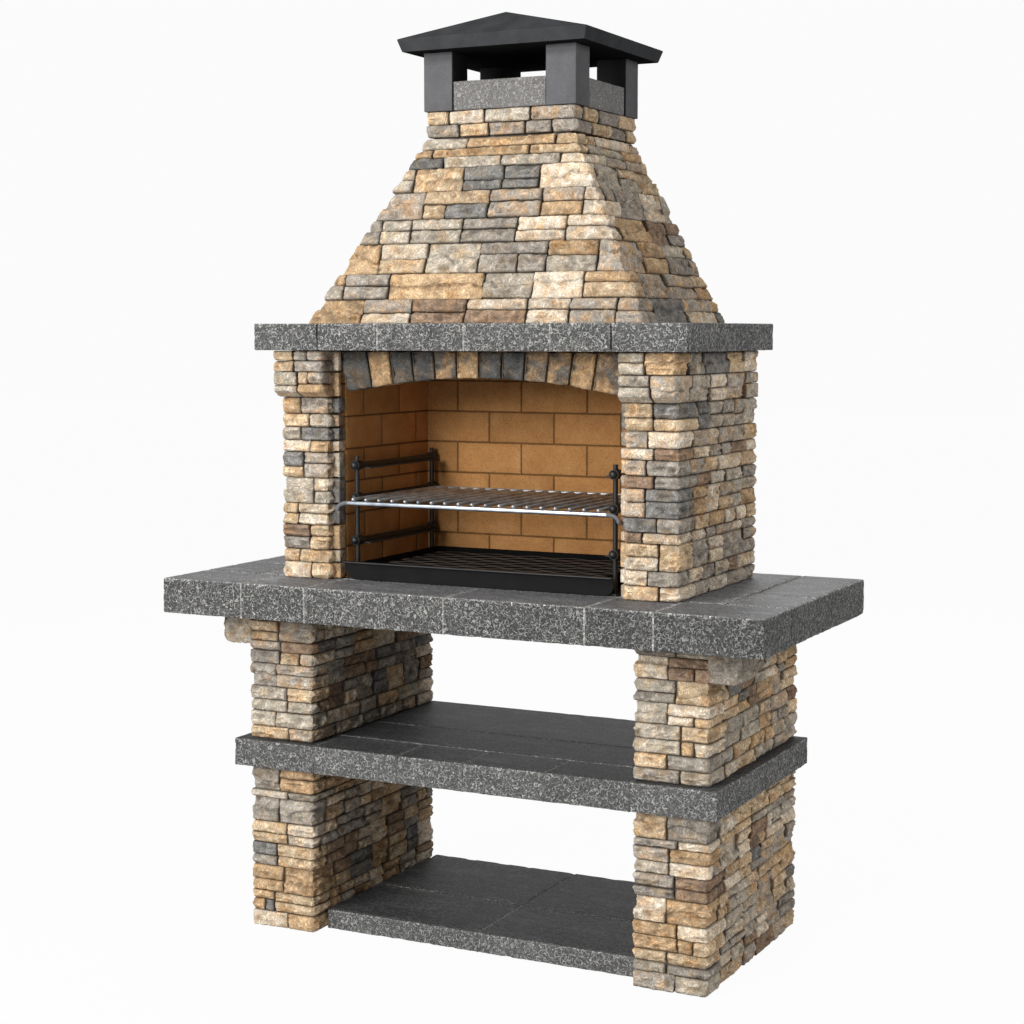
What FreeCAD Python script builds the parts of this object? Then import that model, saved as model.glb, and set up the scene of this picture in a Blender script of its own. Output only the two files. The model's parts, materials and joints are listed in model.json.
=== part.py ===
"""Masonry barbecue: stone legs, two shelves, an arched firebox, a half-pyramid hood and a chimney cap.

Millimetres, +Z up, +Y to the back. The origin is on the paving, under the middle of the worktop.
"""
import FreeCAD, Part
import os
import Sketcher
from FreeCAD import Placement, Rotation, Vector

# Driving dimensions. "wide" runs along X, "deep" along Y and "tall" along Z.
driving_sizes = {
    # Worktop: a slab on the legs, with edge stones at the front and at both ends
    "worktop_wide": 1580,
    "worktop_deep": 760,
    "worktop_height": 900,
    "worktop_thick": 88,
    "edge_deep": 190,
    "edge_wide": 160,
    "edge_first": 236,
    "edge_second": 182,
    "edge_third": 382,
    "edge_fourth": 359,
    "edge_fifth": 166,
    "edge_end_first": 195,
    # Legs, with a concrete core inside four faces of split stone
    "leg_spread": 1250,
    "leg_wide": 195,
    "leg_deep": 635,
    "facing": 25,
    # Bed joints raked out between the courses of split stone
    "rake_tall": 3,
    "rake_deep": 8,
    # Shelf between the lower and the upper legs
    "shelf_height": 488,
    "shelf_thick": 70,
    "shelf_lip": 25,
    "shelf_edge_deep": 150,
    "shelf_first": 234,
    "shelf_second": 240,
    "shelf_third": 181,
    "shelf_fourth": 215,
    "shelf_fifth": 217,
    # Paving stones between the legs
    "ground_thick": 50,
    "ground_inset": 58,
    "ground_row": 255,
    "ground_first": 431,
    # Corbels under the worktop's ends
    "corbel_out": 75,
    "corbel_tall": 88,
    "corbel_deep": 110,
    "corbel_round": 28,
    # Firebox
    "firebox_wide": 1072,
    "firebox_deep": 530,
    "firebox_tall": 567,
    "firebox_inset": 150,
    "cheek_wide": 144,
    "return_deep": 35,
    "back_leaf": 28,
    "brick_thick": 30,
    "brick_proud": 15,
    "brick_joint": 3,
    "brick_courses": 7,
    "side_half_bricks": 5,
    "back_half_bricks": 8,
    "impost_out": 30,
    "impost_low": 63,
    "impost_high": 52,
    "impost_slope": 14,
    # Arch
    "arch_inset": 45,
    "arch_deep": 80,
    "arch_crown": 66,
    "arch_radius": 1700,
    "arch_stones": 12,
    "arch_joint": 3,
    # Mantel, a ring of stones around the smoke throat
    "mantel_thick": 66,
    "mantel_end_lip": 36,
    "mantel_front_lip": 56,
    "mantel_front_deep": 186,
    "mantel_corner_deep": 260,
    "mantel_end_wide": 183,
    "mantel_back_deep": 58,
    "mantel_second": 170,
    "mantel_third": 233,
    "mantel_fourth": 223,
    "stone_joint": 2,
    # Hood and neck
    "hood_tall": 453,
    "hood_base_wide": 908,
    "hood_inset": 45,
    "hood_wall": 30,
    "neck_wide": 410,
    "neck_deep": 377,
    "neck_tall": 63,
    # Chimney cap
    "cap_post": 80,
    "cap_tall": 142,
    "cap_panel_tall": 70,
    "cap_panel_thick": 40,
    "cap_panel_recess": 3,
    "roof_eave": 48,
    "roof_rim": 30,
    "roof_undercut": 9,
    "roof_rise": 60,
    "roof_hip": 88,
    # Grill racks, one on each side of the fire
    "post_across": 700,
    "post_front": 65,
    "post_back_gap": 24,
    "post_radius": 6,
    "post_tall": 300,
    "foot_wide": 24,
    "foot_deep": 40,
    "foot_tall": 6,
    "rail_low": 91,
    "rail_middle": 198,
    "rail_top": 278,
    "rail_web": 16,
    "rail_leg": 25,
    "rail_sheet": 3,
    "boss_radius": 12,
    "boss_long": 24,
    "bolt_head": 10,
    "bolt_shank": 4,
    "slip": 0.2,
    # Grill
    "rest_gap": 0.3,
    "weld_gap": 0.05,
    "rod_radius": 4,
    "rod_count": 19,
    "rod_inset": 11,
    "rod_overhang": 10,
    "front_bar_radius": 6,
    "front_bar_wide": 700,
    "front_bar_back": 18,
    "grill_deep": 414,
    "cross_bar_gap": 7,
    "cross_bar_pitch": 130,
    "lug_long": 35,
    "lug_drop": 27,
    "lug_neck": 10,
    "lug_foot": 14,
    "lug_slope": 6,
    "lug_thick": 8,
    "lug_round": 4,
    # Ember tray and grate
    "tray_sheet": 3,
    "tray_tall": 44,
    "tray_flare": 12,
    "tray_front": 38,
    "tray_deep": 397,
    "tray_wide": 640,
    "tray_front_wide": 724,
    "tray_lip": 11,
    "grate_wide": 616,
    "grate_margin": 8,
    "grate_thick": 8,
    "grate_height": 24,
    "grate_foot": 12,
    "slot_long": 84,
    "slot_wide": 12,
    "slot_columns": 6,
    "slot_rows": 10,
    "slot_bridge": 16,
    "slot_bar": 7,
}

# Courses of split stone from the base up: their rises as laid, which stretch with the height of their wall
course_rises = {
    "lower_leg": [41, 52, 67, 58, 56, 62, 19, 63],
    "left_upper_leg": [32, 38, 64, 59, 57, 51, 23],
    "right_upper_leg": [32, 34, 69, 50, 53, 53, 33],
    "left_cheek": [41, 32, 62, 53, 64, 64, 29, 33, 33, 41, 63, 52],
    "right_cheek": [34, 35, 62, 25, 34, 67, 29, 36, 27, 39, 64, 63, 52],
    "hood": [61, 61, 73, 59, 68, 57, 26, 22, 26],
    "neck": [30, 33],
}

doc = FreeCAD.newDocument("masonry_barbecue")
sheet = doc.addObject("Spreadsheet::Sheet", "dims")
for row, (alias, number) in enumerate(driving_sizes.items(), start=1):
    sheet.set(f"A{row}", alias.replace("_", " "))
    sheet.set(f"B{row}", str(number))
    sheet.setAlias(f"B{row}", alias)
doc.recompute()


class Size:
    """A length as an expression on the sheet; sums and products of Sizes are Sizes too."""

    def __init__(self, text):
        self.text = str(text)

    def __str__(self):
        return self.text

    def __add__(self, other):
        return Size(f"({self} + {other})")

    def __sub__(self, other):
        return Size(f"({self} - {other})")

    def __mul__(self, other):
        return Size(f"({self} * {other})")

    def __truediv__(self, other):
        return Size(f"({self} / {other})")

    def __neg__(self):
        return Size(f"(0 - {self})")


class Sheet:
    """Reads an alias of the sheet as a Size."""

    def __getattr__(self, alias):
        return Size(f"dims.{alias}")


dims = Sheet()
floor = Size(0)
touching = 0.01


def value(size):
    return float(sheet.evalExpression(str(size)))


def sided(side, inner, outer):
    """The low and high end of a stretch across X, on the right (side 1) or the left (side -1)."""
    if side > 0:
        return inner, outer
    return -outer, -inner


def both_ways(half):
    return -half, half


def block(name, x, y, z):
    """A squared block between two Sizes on each axis."""
    solid = doc.addObject("Part::Box", name)
    for prop, axis, (low, high) in zip(("Length", "Width", "Height"), "xyz", (x, y, z)):
        solid.setExpression(prop, str(high - low))
        solid.setExpression(f"Placement.Base.{axis}", str(low))
    return solid


def taper(name, z, base_x, base_y, top_x, top_y):
    """A block whose top is another rectangle than its base, such as a sloping panel or a hip."""
    solid = doc.addObject("Part::Wedge", name)
    solid.Placement = Placement(Vector(0, 0, 0), Rotation(Vector(1, 0, 0), 90))
    limits = {
        "Ymin": z[0], "Ymax": z[1],
        "Xmin": base_x[0], "Xmax": base_x[1], "Zmin": -base_y[1], "Zmax": -base_y[0],
        "X2min": top_x[0], "X2max": top_x[1], "Z2min": -top_y[1], "Z2max": -top_y[0],
    }
    for prop, size in limits.items():
        solid.setExpression(prop, str(size))
    return solid


axis_turns = {
    "x": Rotation(Vector(0, 1, 0), 90),
    "y": Rotation(Vector(1, 0, 0), -90),
    "z": Rotation(),
}


def round_bar(name, axis, radius, start, length):
    """A round bar that runs from start towards +axis."""
    solid = doc.addObject("Part::Cylinder", name)
    solid.Placement = Placement(Vector(0, 0, 0), axis_turns[axis])
    solid.setExpression("Radius", str(radius))
    solid.setExpression("Height", str(length))
    for letter, size in zip("xyz", start):
        solid.setExpression(f"Placement.Base.{letter}", str(size))
    return solid


def cut(name, base, tool):
    solid = doc.addObject("Part::Cut", name)
    solid.Base = base
    solid.Tool = tool
    return solid


def beds(wall, z):
    """The heights of the bed joints between a wall's courses."""
    rises = course_rises[wall]
    laid = 0
    levels = []
    for rise in rises[:-1]:
        laid += rise
        levels.append(z[0] + (z[1] - z[0]) * f"{laid} / {sum(rises)}")
    return levels


def rake(name, levels, x, y, inside):
    """A tool that rakes out bed joints: a thin slab at each level, less the inside of the wall."""
    half = dims.rake_tall / 2
    slabs = [block(f"{name}_bed_{number}", x, y, (level - half, level + half))
             for number, level in enumerate(levels, start=1)]
    joints = doc.addObject("Part::Compound", f"{name}_beds")
    joints.Links = slabs
    return cut(f"{name}_joints", joints, inside)


def raked(faces, tool):
    return [cut(f"{face.Name}_raked", face, tool) for face in faces]


def inset(span, deep):
    """A stretch drawn in at both ends."""
    return span[0] + deep, span[1] - deep


def fuse(name, base, tool):
    solid = doc.addObject("Part::Fuse", name)
    solid.Base = base
    solid.Tool = tool
    solid.Refine = True
    return solid


def outline(body, name, plane, level, corners):
    """A closed sketch on one of the body's origin planes, each corner held by its two Sizes."""
    sketch = body.newObject("Sketcher::SketchObject", name)
    support = next(item for item in body.Origin.OriginFeatures if item.Role == plane)
    sketch.AttachmentSupport = [(support, "")]
    sketch.MapMode = "FlatFace"
    sketch.setExpression("AttachmentOffset.Base.z", str(level))
    places = [Vector(value(across), value(up), 0) for across, up in corners]
    count = len(places)
    for index in range(count):
        sketch.addGeometry(Part.LineSegment(places[index], places[(index + 1) % count]), False)
    for index in range(count):
        sketch.addConstraint(Sketcher.Constraint("Coincident", index, 2, (index + 1) % count, 1))
    for index, corner in enumerate(corners):
        for kind, size in zip(("DistanceX", "DistanceY"), corner):
            held = Sketcher.Constraint(kind, -1, 1, index, 1, value(size))
            number = sketch.addConstraint(held)
            sketch.setExpression(f"Constraints[{number}]", str(size))
    return sketch


def rectangle(x, y):
    return [(x[0], y[0]), (x[1], y[0]), (x[1], y[1]), (x[0], y[1])]


def prism(name, plane, corners, level, length):
    """A body padded from an outline, from level along the plane's normal."""
    body = doc.addObject("PartDesign::Body", name)
    sketch = outline(body, f"{name}_outline", plane, level, corners)
    pad = body.newObject("PartDesign::Pad", f"{name}_pad")
    pad.Profile = sketch
    pad.setExpression("Length", str(length))
    return body


def round_edges(body, radius, test):
    """Fillets the edges of the body's last feature whose two ends both pass the test."""
    doc.recompute()
    base = body.Tip
    names = []
    for number, edge in enumerate(base.Shape.Edges, start=1):
        if len(edge.Vertexes) == 2 and test(*[vertex.Point for vertex in edge.Vertexes]):
            names.append(f"Edge{number}")
    fillet = body.newObject("PartDesign::Fillet", f"{body.Name}_fillet")
    fillet.Base = (base, names)
    fillet.setExpression("Radius", str(radius))
    return body


nodes = []


def node(label, *solids):
    """Names a piece; several solids of one kind share a node as a compound."""
    piece = solids[0]
    if len(solids) > 1:
        piece = doc.addObject("Part::Compound", label)
        piece.Links = list(solids)
    piece.Label = label
    nodes.append(piece)


sides = {"left": -1, "right": 1}

# Levels above the paving
shelf_base = dims.shelf_height - dims.shelf_thick
shelf_top = dims.shelf_height
worktop_base = dims.worktop_height - dims.worktop_thick
worktop_top = dims.worktop_height
mantel_base = worktop_top + dims.firebox_tall
mantel_top = mantel_base + dims.mantel_thick
hood_top = mantel_top + dims.hood_tall
neck_top = hood_top + dims.neck_tall
cap_top = neck_top + dims.cap_tall

# Plan lines
worktop_half = dims.worktop_wide / 2
worktop_back = dims.worktop_deep / 2
worktop_front = -worktop_back
leg_outer = dims.leg_spread / 2
leg_inner = leg_outer - dims.leg_wide
leg_front = worktop_back - dims.leg_deep
cheek_outer = dims.firebox_wide / 2
cheek_inner = cheek_outer - dims.cheek_wide
firebox_front = worktop_front + dims.firebox_inset
firebox_back = firebox_front + dims.firebox_deep
lining_face = cheek_inner - dims.brick_proud
lining_front = firebox_front + dims.facing + dims.return_deep
lining_outer = lining_face + dims.brick_thick
leaf_front = firebox_back - dims.back_leaf
fire_back = leaf_front - dims.brick_thick


def stone_row(name, start, widths, end, y, z):
    """Stones side by side along X, a joint apart; the last one fills up to the end."""
    stones = []
    left = start
    for number, wide in enumerate(widths, start=1):
        right = left + wide
        stones.append(block(f"{name}_{number}", (left, right - dims.stone_joint), y, z))
        left = right
    stones.append(block(f"{name}_last", (left, end), y, z))
    return stones


def ground_slab():
    front = leg_front + dims.ground_inset
    middle = front + dims.ground_row
    rows = []
    for name, y in (("front", (front, middle)), ("back", (middle, worktop_back))):
        widths = [dims.ground_first]
        rows += stone_row(f"ground_{name}", -leg_inner, widths, leg_inner, y, (floor, dims.ground_thick))
    node("ground_slab", *rows)


def leg(name, side, z, corbel_base=None):
    """A leg's core and facing; an upper leg leaves room in its outer face for the corbel's tail."""
    inside = (leg_front + dims.facing, worktop_back - dims.facing)
    core_inner = leg_inner + dims.facing
    core_outer = leg_outer - dims.facing
    node(f"{name}_core", block(f"{name}_core", sided(side, core_inner, core_outer), inside, z))
    across = sided(side, leg_inner, core_outer)
    outer = sided(side, core_outer, leg_outer)
    faces = [
        block(f"{name}_front", across, (leg_front, inside[0]), z),
        block(f"{name}_back", across, (inside[1], worktop_back), z),
        block(f"{name}_inner", sided(side, leg_inner, core_inner), inside, z),
    ]
    if corbel_base is None:
        faces.append(block(f"{name}_outer", outer, (leg_front, worktop_back), z))
    else:
        behind = leg_front + dims.corbel_deep
        faces.append(block(f"{name}_outer", outer, (leg_front, worktop_back), (z[0], corbel_base)))
        faces.append(block(f"{name}_beside", outer, (behind, worktop_back), (corbel_base, z[1])))
    plan = (sided(side, leg_inner, leg_outer), (leg_front, worktop_back))
    within = block(f"{name}_within", *[inset(span, dims.rake_deep) for span in plan], z)
    wall = name if name in course_rises else name.split("_", 1)[1]
    tool = rake(name, beds(wall, z), *plan, within)
    node(f"{name}_stone", *raked(faces, tool))


def corbel(name, side):
    """Built into the outer face of the leg; its lower outer edge is rounded."""
    base = worktop_base - dims.corbel_tall
    x = sided(side, leg_outer - dims.facing, leg_outer + dims.corbel_out)
    body = prism(name, "XZ_Plane", rectangle(x, (base, worktop_base)),
                 -(leg_front + dims.corbel_deep), dims.corbel_deep)
    tip = side * value(leg_outer + dims.corbel_out)
    low = value(base)
    round_edges(body, dims.corbel_round, lambda *ends: all(
        abs(point.x - tip) < touching and abs(point.z - low) < touching for point in ends))
    node(name, body)


def shelf():
    half = leg_outer + dims.shelf_lip
    front = leg_front - dims.shelf_lip
    middle = front + dims.shelf_edge_deep
    z = (shelf_base, shelf_top)
    node("shelf_slab", block("shelf_slab", both_ways(half), (middle, worktop_back), z))
    widths = [dims.shelf_first, dims.shelf_second, dims.shelf_third, dims.shelf_fourth, dims.shelf_fifth]
    node("shelf_edge_stones", *stone_row("shelf_edge", -half, widths, half, (front, middle), z))


def worktop():
    z = (worktop_base, worktop_top)
    middle = worktop_front + dims.edge_deep
    slab_half = worktop_half - dims.edge_wide
    node("worktop_slab", block("worktop_slab", both_ways(slab_half), (middle, worktop_back), z))
    widths = [dims.edge_first, dims.edge_second, dims.edge_third, dims.edge_fourth, dims.edge_fifth]
    front = stone_row("worktop_edge", -worktop_half, widths, worktop_half, (worktop_front, middle), z)
    node("worktop_front_stones", *front)
    split = middle + dims.edge_end_first
    ends = []
    for name, side in sides.items():
        x = sided(side, slab_half, worktop_half)
        ends.append(block(f"{name}_end_front", x, (middle, split - dims.stone_joint), z))
        ends.append(block(f"{name}_end_back", x, (split, worktop_back), z))
    node("worktop_end_stones", *ends)


def brick_wall(name, halves, span, make):
    """Running bond in half-brick steps: even courses start with a whole brick, odd ones with a half."""
    courses = int(value(dims.brick_courses))
    count = int(value(halves))
    rise = dims.firebox_tall / dims.brick_courses
    step = (span[1] - span[0]) / halves
    bricks = []
    for course in range(courses):
        low = worktop_top + rise * course
        high = low + rise - dims.brick_joint
        if course == courses - 1:
            high = mantel_base
        cuts = list(range(course % 2, count, 2))
        if cuts[0] != 0:
            cuts.insert(0, 0)
        cuts.append(count)
        for start, end in zip(cuts, cuts[1:]):
            run = (span[0] + step * start, span[0] + step * end - dims.brick_joint)
            if end == count:
                run = (run[0], span[1])
            bricks.append(make(f"{name}_{course}_{start}", run, (low, high)))
    node(name, *bricks)


def cheek(name, side):
    """One side wall of the firebox: core, split stone outside and firebrick inside."""
    z = (worktop_top, mantel_base)
    front = (firebox_front, firebox_front + dims.facing)
    run = (front[1], leaf_front)
    core_outer = cheek_outer - dims.facing
    node(f"{name}_cheek_core", block(f"{name}_cheek_core", sided(side, lining_outer, core_outer), run, z))
    impost_base = mantel_base - dims.impost_low - dims.impost_high
    faces = [
        block(f"{name}_cheek_front", sided(side, cheek_inner, cheek_outer), front, (z[0], impost_base)),
        block(f"{name}_cheek_outer", sided(side, core_outer, cheek_outer), run, z),
        block(f"{name}_cheek_return", sided(side, lining_face, lining_outer), (front[1], lining_front), z),
    ]
    plan = (sided(side, cheek_inner, cheek_outer), (firebox_front, leaf_front))
    within = block(f"{name}_cheek_within", inset(plan[0], dims.rake_deep),
                   (firebox_front + dims.rake_deep, leaf_front), z)
    tool = rake(f"{name}_cheek", beds(f"{name}_cheek", z), *plan, within)
    node(f"{name}_cheek_stone", *raked(faces, tool))
    across = sided(side, lining_face, lining_outer)
    brick_wall(f"{name}_firebricks", dims.side_half_bricks, (lining_front, leaf_front),
               lambda brick, y, z: block(brick, across, y, z))
    impost(f"{name}_impost", side, impost_base)


def impost(name, side, base):
    """Two projecting courses at the top of a cheek; the lower one slopes back to the cheek's face."""
    back = firebox_front + dims.facing
    front = firebox_front - dims.impost_out
    bed = base + dims.impost_low
    x = sided(side, cheek_inner, cheek_outer)
    corners = [
        (back, base),
        (back, bed),
        (front, bed),
        (front, base + dims.impost_slope),
        (firebox_front, base),
    ]
    lower = prism(f"{name}_lower", "YZ_Plane", corners, x[0], x[1] - x[0])
    upper = block(f"{name}_upper", x, (front, back), (bed, mantel_base))
    node(name, lower, upper)


def firebox_back_wall():
    """A leaf of split stone behind a leaf of firebrick."""
    z = (worktop_top, mantel_base)
    plan = (both_ways(cheek_outer), (leaf_front, firebox_back))
    within = block("back_within", inset(plan[0], dims.rake_deep), (leaf_front, firebox_back - dims.rake_deep), z)
    tool = rake("back", beds("right_cheek", z), *plan, within)
    node("back_stone", *raked([block("back_leaf", *plan, z)], tool))
    brick_wall("back_firebricks", dims.back_half_bricks, both_ways(lining_face),
               lambda brick, x, z: block(brick, x, (fire_back, leaf_front), z))


def arch():
    """A flat-topped segmental arch; its joints point to the centre of the soffit's circle."""
    half_top = lining_face - dims.arch_joint
    reach = dims.arch_radius + dims.arch_crown
    centre = mantel_base - reach
    count = int(value(dims.arch_stones))
    front = firebox_front + dims.arch_inset
    stones = []
    for number in range(count):
        corners = []
        for step, shift in ((number, dims.arch_joint / 2), (number + 1, -dims.arch_joint / 2)):
            angle = Size(f"(atan({half_top} / {reach}) * ({2 * step} / {count} - 1))")
            foot = (dims.arch_radius * f"sin({angle})" + shift, centre + dims.arch_radius * f"cos({angle})")
            head = (reach * f"tan({angle})" + shift, mantel_base)
            corners += [foot, head] if step == number else [head, foot]
        back = front + dims.arch_deep
        stones.append(prism(f"arch_stone_{number}", "XZ_Plane", corners, -back, dims.arch_deep))
    node("arch_stones", *stones)


def mantel():
    """A ring of stones: corner stones, end stones, a front row over the arch and a back stone."""
    half = cheek_outer + dims.mantel_end_lip
    front = firebox_front - dims.mantel_front_lip
    inner = half - dims.mantel_end_wide
    corner_back = front + dims.mantel_corner_deep
    z = (mantel_base, mantel_top)
    row = (front, front + dims.mantel_front_deep)
    widths = [dims.mantel_second, dims.mantel_third, dims.mantel_fourth]
    node("mantel_front_stones", *stone_row("mantel_front", -inner, widths, inner, row, z))
    ends = []
    for name, side in sides.items():
        x = sided(side, inner, half)
        ends.append(block(f"mantel_{name}_corner", x, (front, corner_back - dims.stone_joint), z))
        ends.append(block(f"mantel_{name}_end", x, (corner_back, firebox_back), z))
    back = (firebox_back - dims.mantel_back_deep, firebox_back)
    node("mantel_ring_stones", *ends, block("mantel_back", both_ways(inner), back, z))


hood_front = firebox_front - dims.mantel_front_lip + dims.hood_inset
neck_half = dims.neck_wide / 2
neck_front = firebox_back - dims.neck_deep


def hood_skin(label, under, thick):
    """Four sloping panels of one skin, a depth under the hood's outer faces; the back one stands upright."""
    z = (mantel_top, hood_top)
    base_half = dims.hood_base_wide / 2 - under
    top_half = neck_half - under
    base_front = hood_front + under
    top_front = neck_front + under
    back = firebox_back - under
    panels = [
        taper(f"hood_front_{label}", z, both_ways(base_half), (base_front, base_front + thick),
              both_ways(top_half), (top_front, top_front + thick)),
        taper(f"hood_back_{label}", z, both_ways(base_half), (back - thick, back),
              both_ways(top_half), (back - thick, back)),
    ]
    for name, side in sides.items():
        panels.append(taper(f"hood_{name}_{label}", z,
                            sided(side, base_half - thick, base_half), (base_front + thick, back - thick),
                            sided(side, top_half - thick, top_half), (top_front + thick, back - thick)))
    return panels


def hood():
    """A cast lining of four panels, with split stone on each."""
    z = (mantel_top, hood_top)
    deep = dims.rake_deep
    base = (both_ways(dims.hood_base_wide / 2), (hood_front, firebox_back))
    top = (both_ways(neck_half), (neck_front, firebox_back))
    within = taper("hood_within", z, *[inset(span, deep) for span in (*base, *top)])
    tool = rake("hood", beds("hood", z), *base, within)
    panels = hood_skin("face", floor, dims.facing)
    for panel, face in zip(panels, raked(panels, tool)):
        node(panel.Name.replace("face", "stone"), face)
    node("hood_lining", *hood_skin("panel", dims.facing, dims.hood_wall))


def neck():
    """A cast flue block with split stone around it."""
    z = (hood_top, neck_top)
    half = neck_half - dims.facing
    inside = (neck_front + dims.facing, firebox_back - dims.facing)
    casting = block("neck_casting", both_ways(half), inside, z)
    flue_half = half - dims.hood_wall
    flue_run = (inside[0] + dims.hood_wall, inside[1] - dims.hood_wall)
    flue = block("neck_flue", both_ways(flue_half), flue_run, z)
    node("flue_block", cut("flue_block", casting, flue))
    faces = [
        block("neck_front", both_ways(neck_half), (neck_front, inside[0]), z),
        block("neck_back", both_ways(neck_half), (inside[1], firebox_back), z),
        block("neck_left", sided(-1, half, neck_half), inside, z),
        block("neck_right", sided(1, half, neck_half), inside, z),
    ]
    plan = (both_ways(neck_half), (neck_front, firebox_back))
    within = block("neck_within", *[inset(span, dims.rake_deep) for span in plan], z)
    node("neck_stone", *raked(faces, rake("neck", beds("neck", z), *plan, within)))


def chimney_cap():
    """Four corner posts with a low panel between each two, under a hipped roof."""
    z = (neck_top, cap_top)
    low = (neck_top, neck_top + dims.cap_panel_tall)
    gap_half = neck_half - dims.cap_post
    gap_front = neck_front + dims.cap_post
    gap_back = firebox_back - dims.cap_post
    ends = {"front": (neck_front, gap_front), "back": (gap_back, firebox_back)}
    posts = []
    for end, y in ends.items():
        for name, side in sides.items():
            posts.append(block(f"cap_post_{end}_{name}", sided(side, gap_half, neck_half), y, z))
    node("cap_posts", *posts)
    face = dims.cap_panel_recess
    deep = face + dims.cap_panel_thick
    rows = {
        "front": (neck_front + face, neck_front + deep),
        "back": (firebox_back - deep, firebox_back - face),
    }
    panels = [block(f"cap_panel_{end}", both_ways(gap_half), y, low) for end, y in rows.items()]
    for name, side in sides.items():
        x = sided(side, neck_half - deep, neck_half - face)
        panels.append(block(f"cap_panel_{name}", x, (gap_front, gap_back), low))
    node("cap_panels", *panels)
    half = neck_half + dims.roof_eave
    front = neck_front - dims.roof_eave
    back = firebox_back + dims.roof_eave
    under = dims.roof_undercut
    eave = cap_top + dims.roof_rim
    rim = taper("roof_rim", (cap_top, eave), both_ways(half - under), (front + under, back - under),
                both_ways(half), (front, back))
    hips = taper("roof_hips", (eave, eave + dims.roof_rise), both_ways(half), (front, back),
                 (floor, floor), (front + dims.roof_hip, back - dims.roof_hip))
    node("chimney_roof", fuse("chimney_roof", rim, hips))


# Where the racks stand, and the rail that the grill lies on
post_x = dims.post_across / 2
post_rows = {"front": (firebox_front + dims.post_front, -1), "back": (fire_back - dims.post_back_gap, 1)}
rail_levels = {"low": dims.rail_low, "middle": dims.rail_middle, "top": dims.rail_top}
rail_outer = post_x - dims.post_radius
rail_inner = rail_outer - dims.rail_leg


def rack(name, side):
    """Two round posts on foot plates, with three angle rails held between clamp bosses.

    A dome bolt clamps each boss to its post, from the side that faces away from the rail.
    """
    x = post_x if side > 0 else -post_x
    posts = []
    feet = []
    bosses = []
    bolts = []
    rails = []
    foot_top = worktop_top + dims.foot_tall
    half_boss = dims.boss_long / 2
    for row, (y, facing) in post_rows.items():
        posts.append(round_bar(f"{name}_post_{row}", "z", dims.post_radius, (x, y, foot_top), dims.post_tall))
        feet.append(block(f"{name}_foot_{row}", (x - dims.foot_wide / 2, x + dims.foot_wide / 2),
                          (y - dims.foot_deep / 2, y + dims.foot_deep / 2), (worktop_top, foot_top)))
        for level, height in rail_levels.items():
            mark = f"{name}_{row}_{level}"
            middle = worktop_top + height + dims.rail_web / 2 - dims.rail_sheet
            boss = round_bar(f"{mark}_boss_blank", "y", dims.boss_radius,
                             (x, y - half_boss, middle), dims.boss_long)
            bore = round_bar(f"{mark}_post_bore", "z", dims.post_radius + dims.slip,
                             (x, y, middle - dims.boss_radius), dims.boss_radius * 2)
            thread_start = y - half_boss if facing < 0 else y
            thread = round_bar(f"{mark}_thread", "y", dims.bolt_shank + dims.slip,
                               (x, thread_start, middle), half_boss)
            bosses.append(cut(f"{mark}_boss", cut(f"{mark}_boss_bored", boss, bore), thread))
            bolts.append(dome_bolt(f"{mark}_bolt", x, y, middle, facing))
    run = (post_rows["front"][0] + half_boss, post_rows["back"][0] - half_boss)
    for level, height in rail_levels.items():
        top = worktop_top + height
        base = top - dims.rail_sheet
        web = rail_outer - dims.rail_sheet
        corners = [(rail_outer, base), (rail_outer, base + dims.rail_web), (web, base + dims.rail_web),
                   (web, top), (rail_inner, top), (rail_inner, base)]
        corners = [(across * side, up) for across, up in corners]
        rails.append(prism(f"{name}_rail_{level}", "XZ_Plane", corners, -run[1], run[1] - run[0]))
    node(f"{name}_rack_posts", *posts)
    node(f"{name}_rack_feet", *feet)
    node(f"{name}_rack_rails", *rails)
    node(f"{name}_rack_clamps", *bosses)
    node(f"{name}_rack_bolts", *bolts)


def dome_bolt(name, x, y, z, facing):
    """A half ball on the boss's face, with a shank that reaches the post at (x, y)."""
    half_boss = dims.boss_long / 2
    reach = half_boss - dims.post_radius - dims.slip
    dome = doc.addObject("Part::Sphere", f"{name}_dome")
    dome.Angle1 = 0
    dome.Placement = Placement(Vector(0, 0, 0), Rotation(Vector(1, 0, 0), -90 * facing))
    dome.setExpression("Radius", str(dims.bolt_head))
    head = y + half_boss * facing
    for letter, size in zip("xyz", (x, head, z)):
        dome.setExpression(f"Placement.Base.{letter}", str(size))
    start = head if facing < 0 else head - reach
    return fuse(name, dome, round_bar(f"{name}_shank", "y", dims.bolt_shank, (x, start, z), reach))


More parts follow.
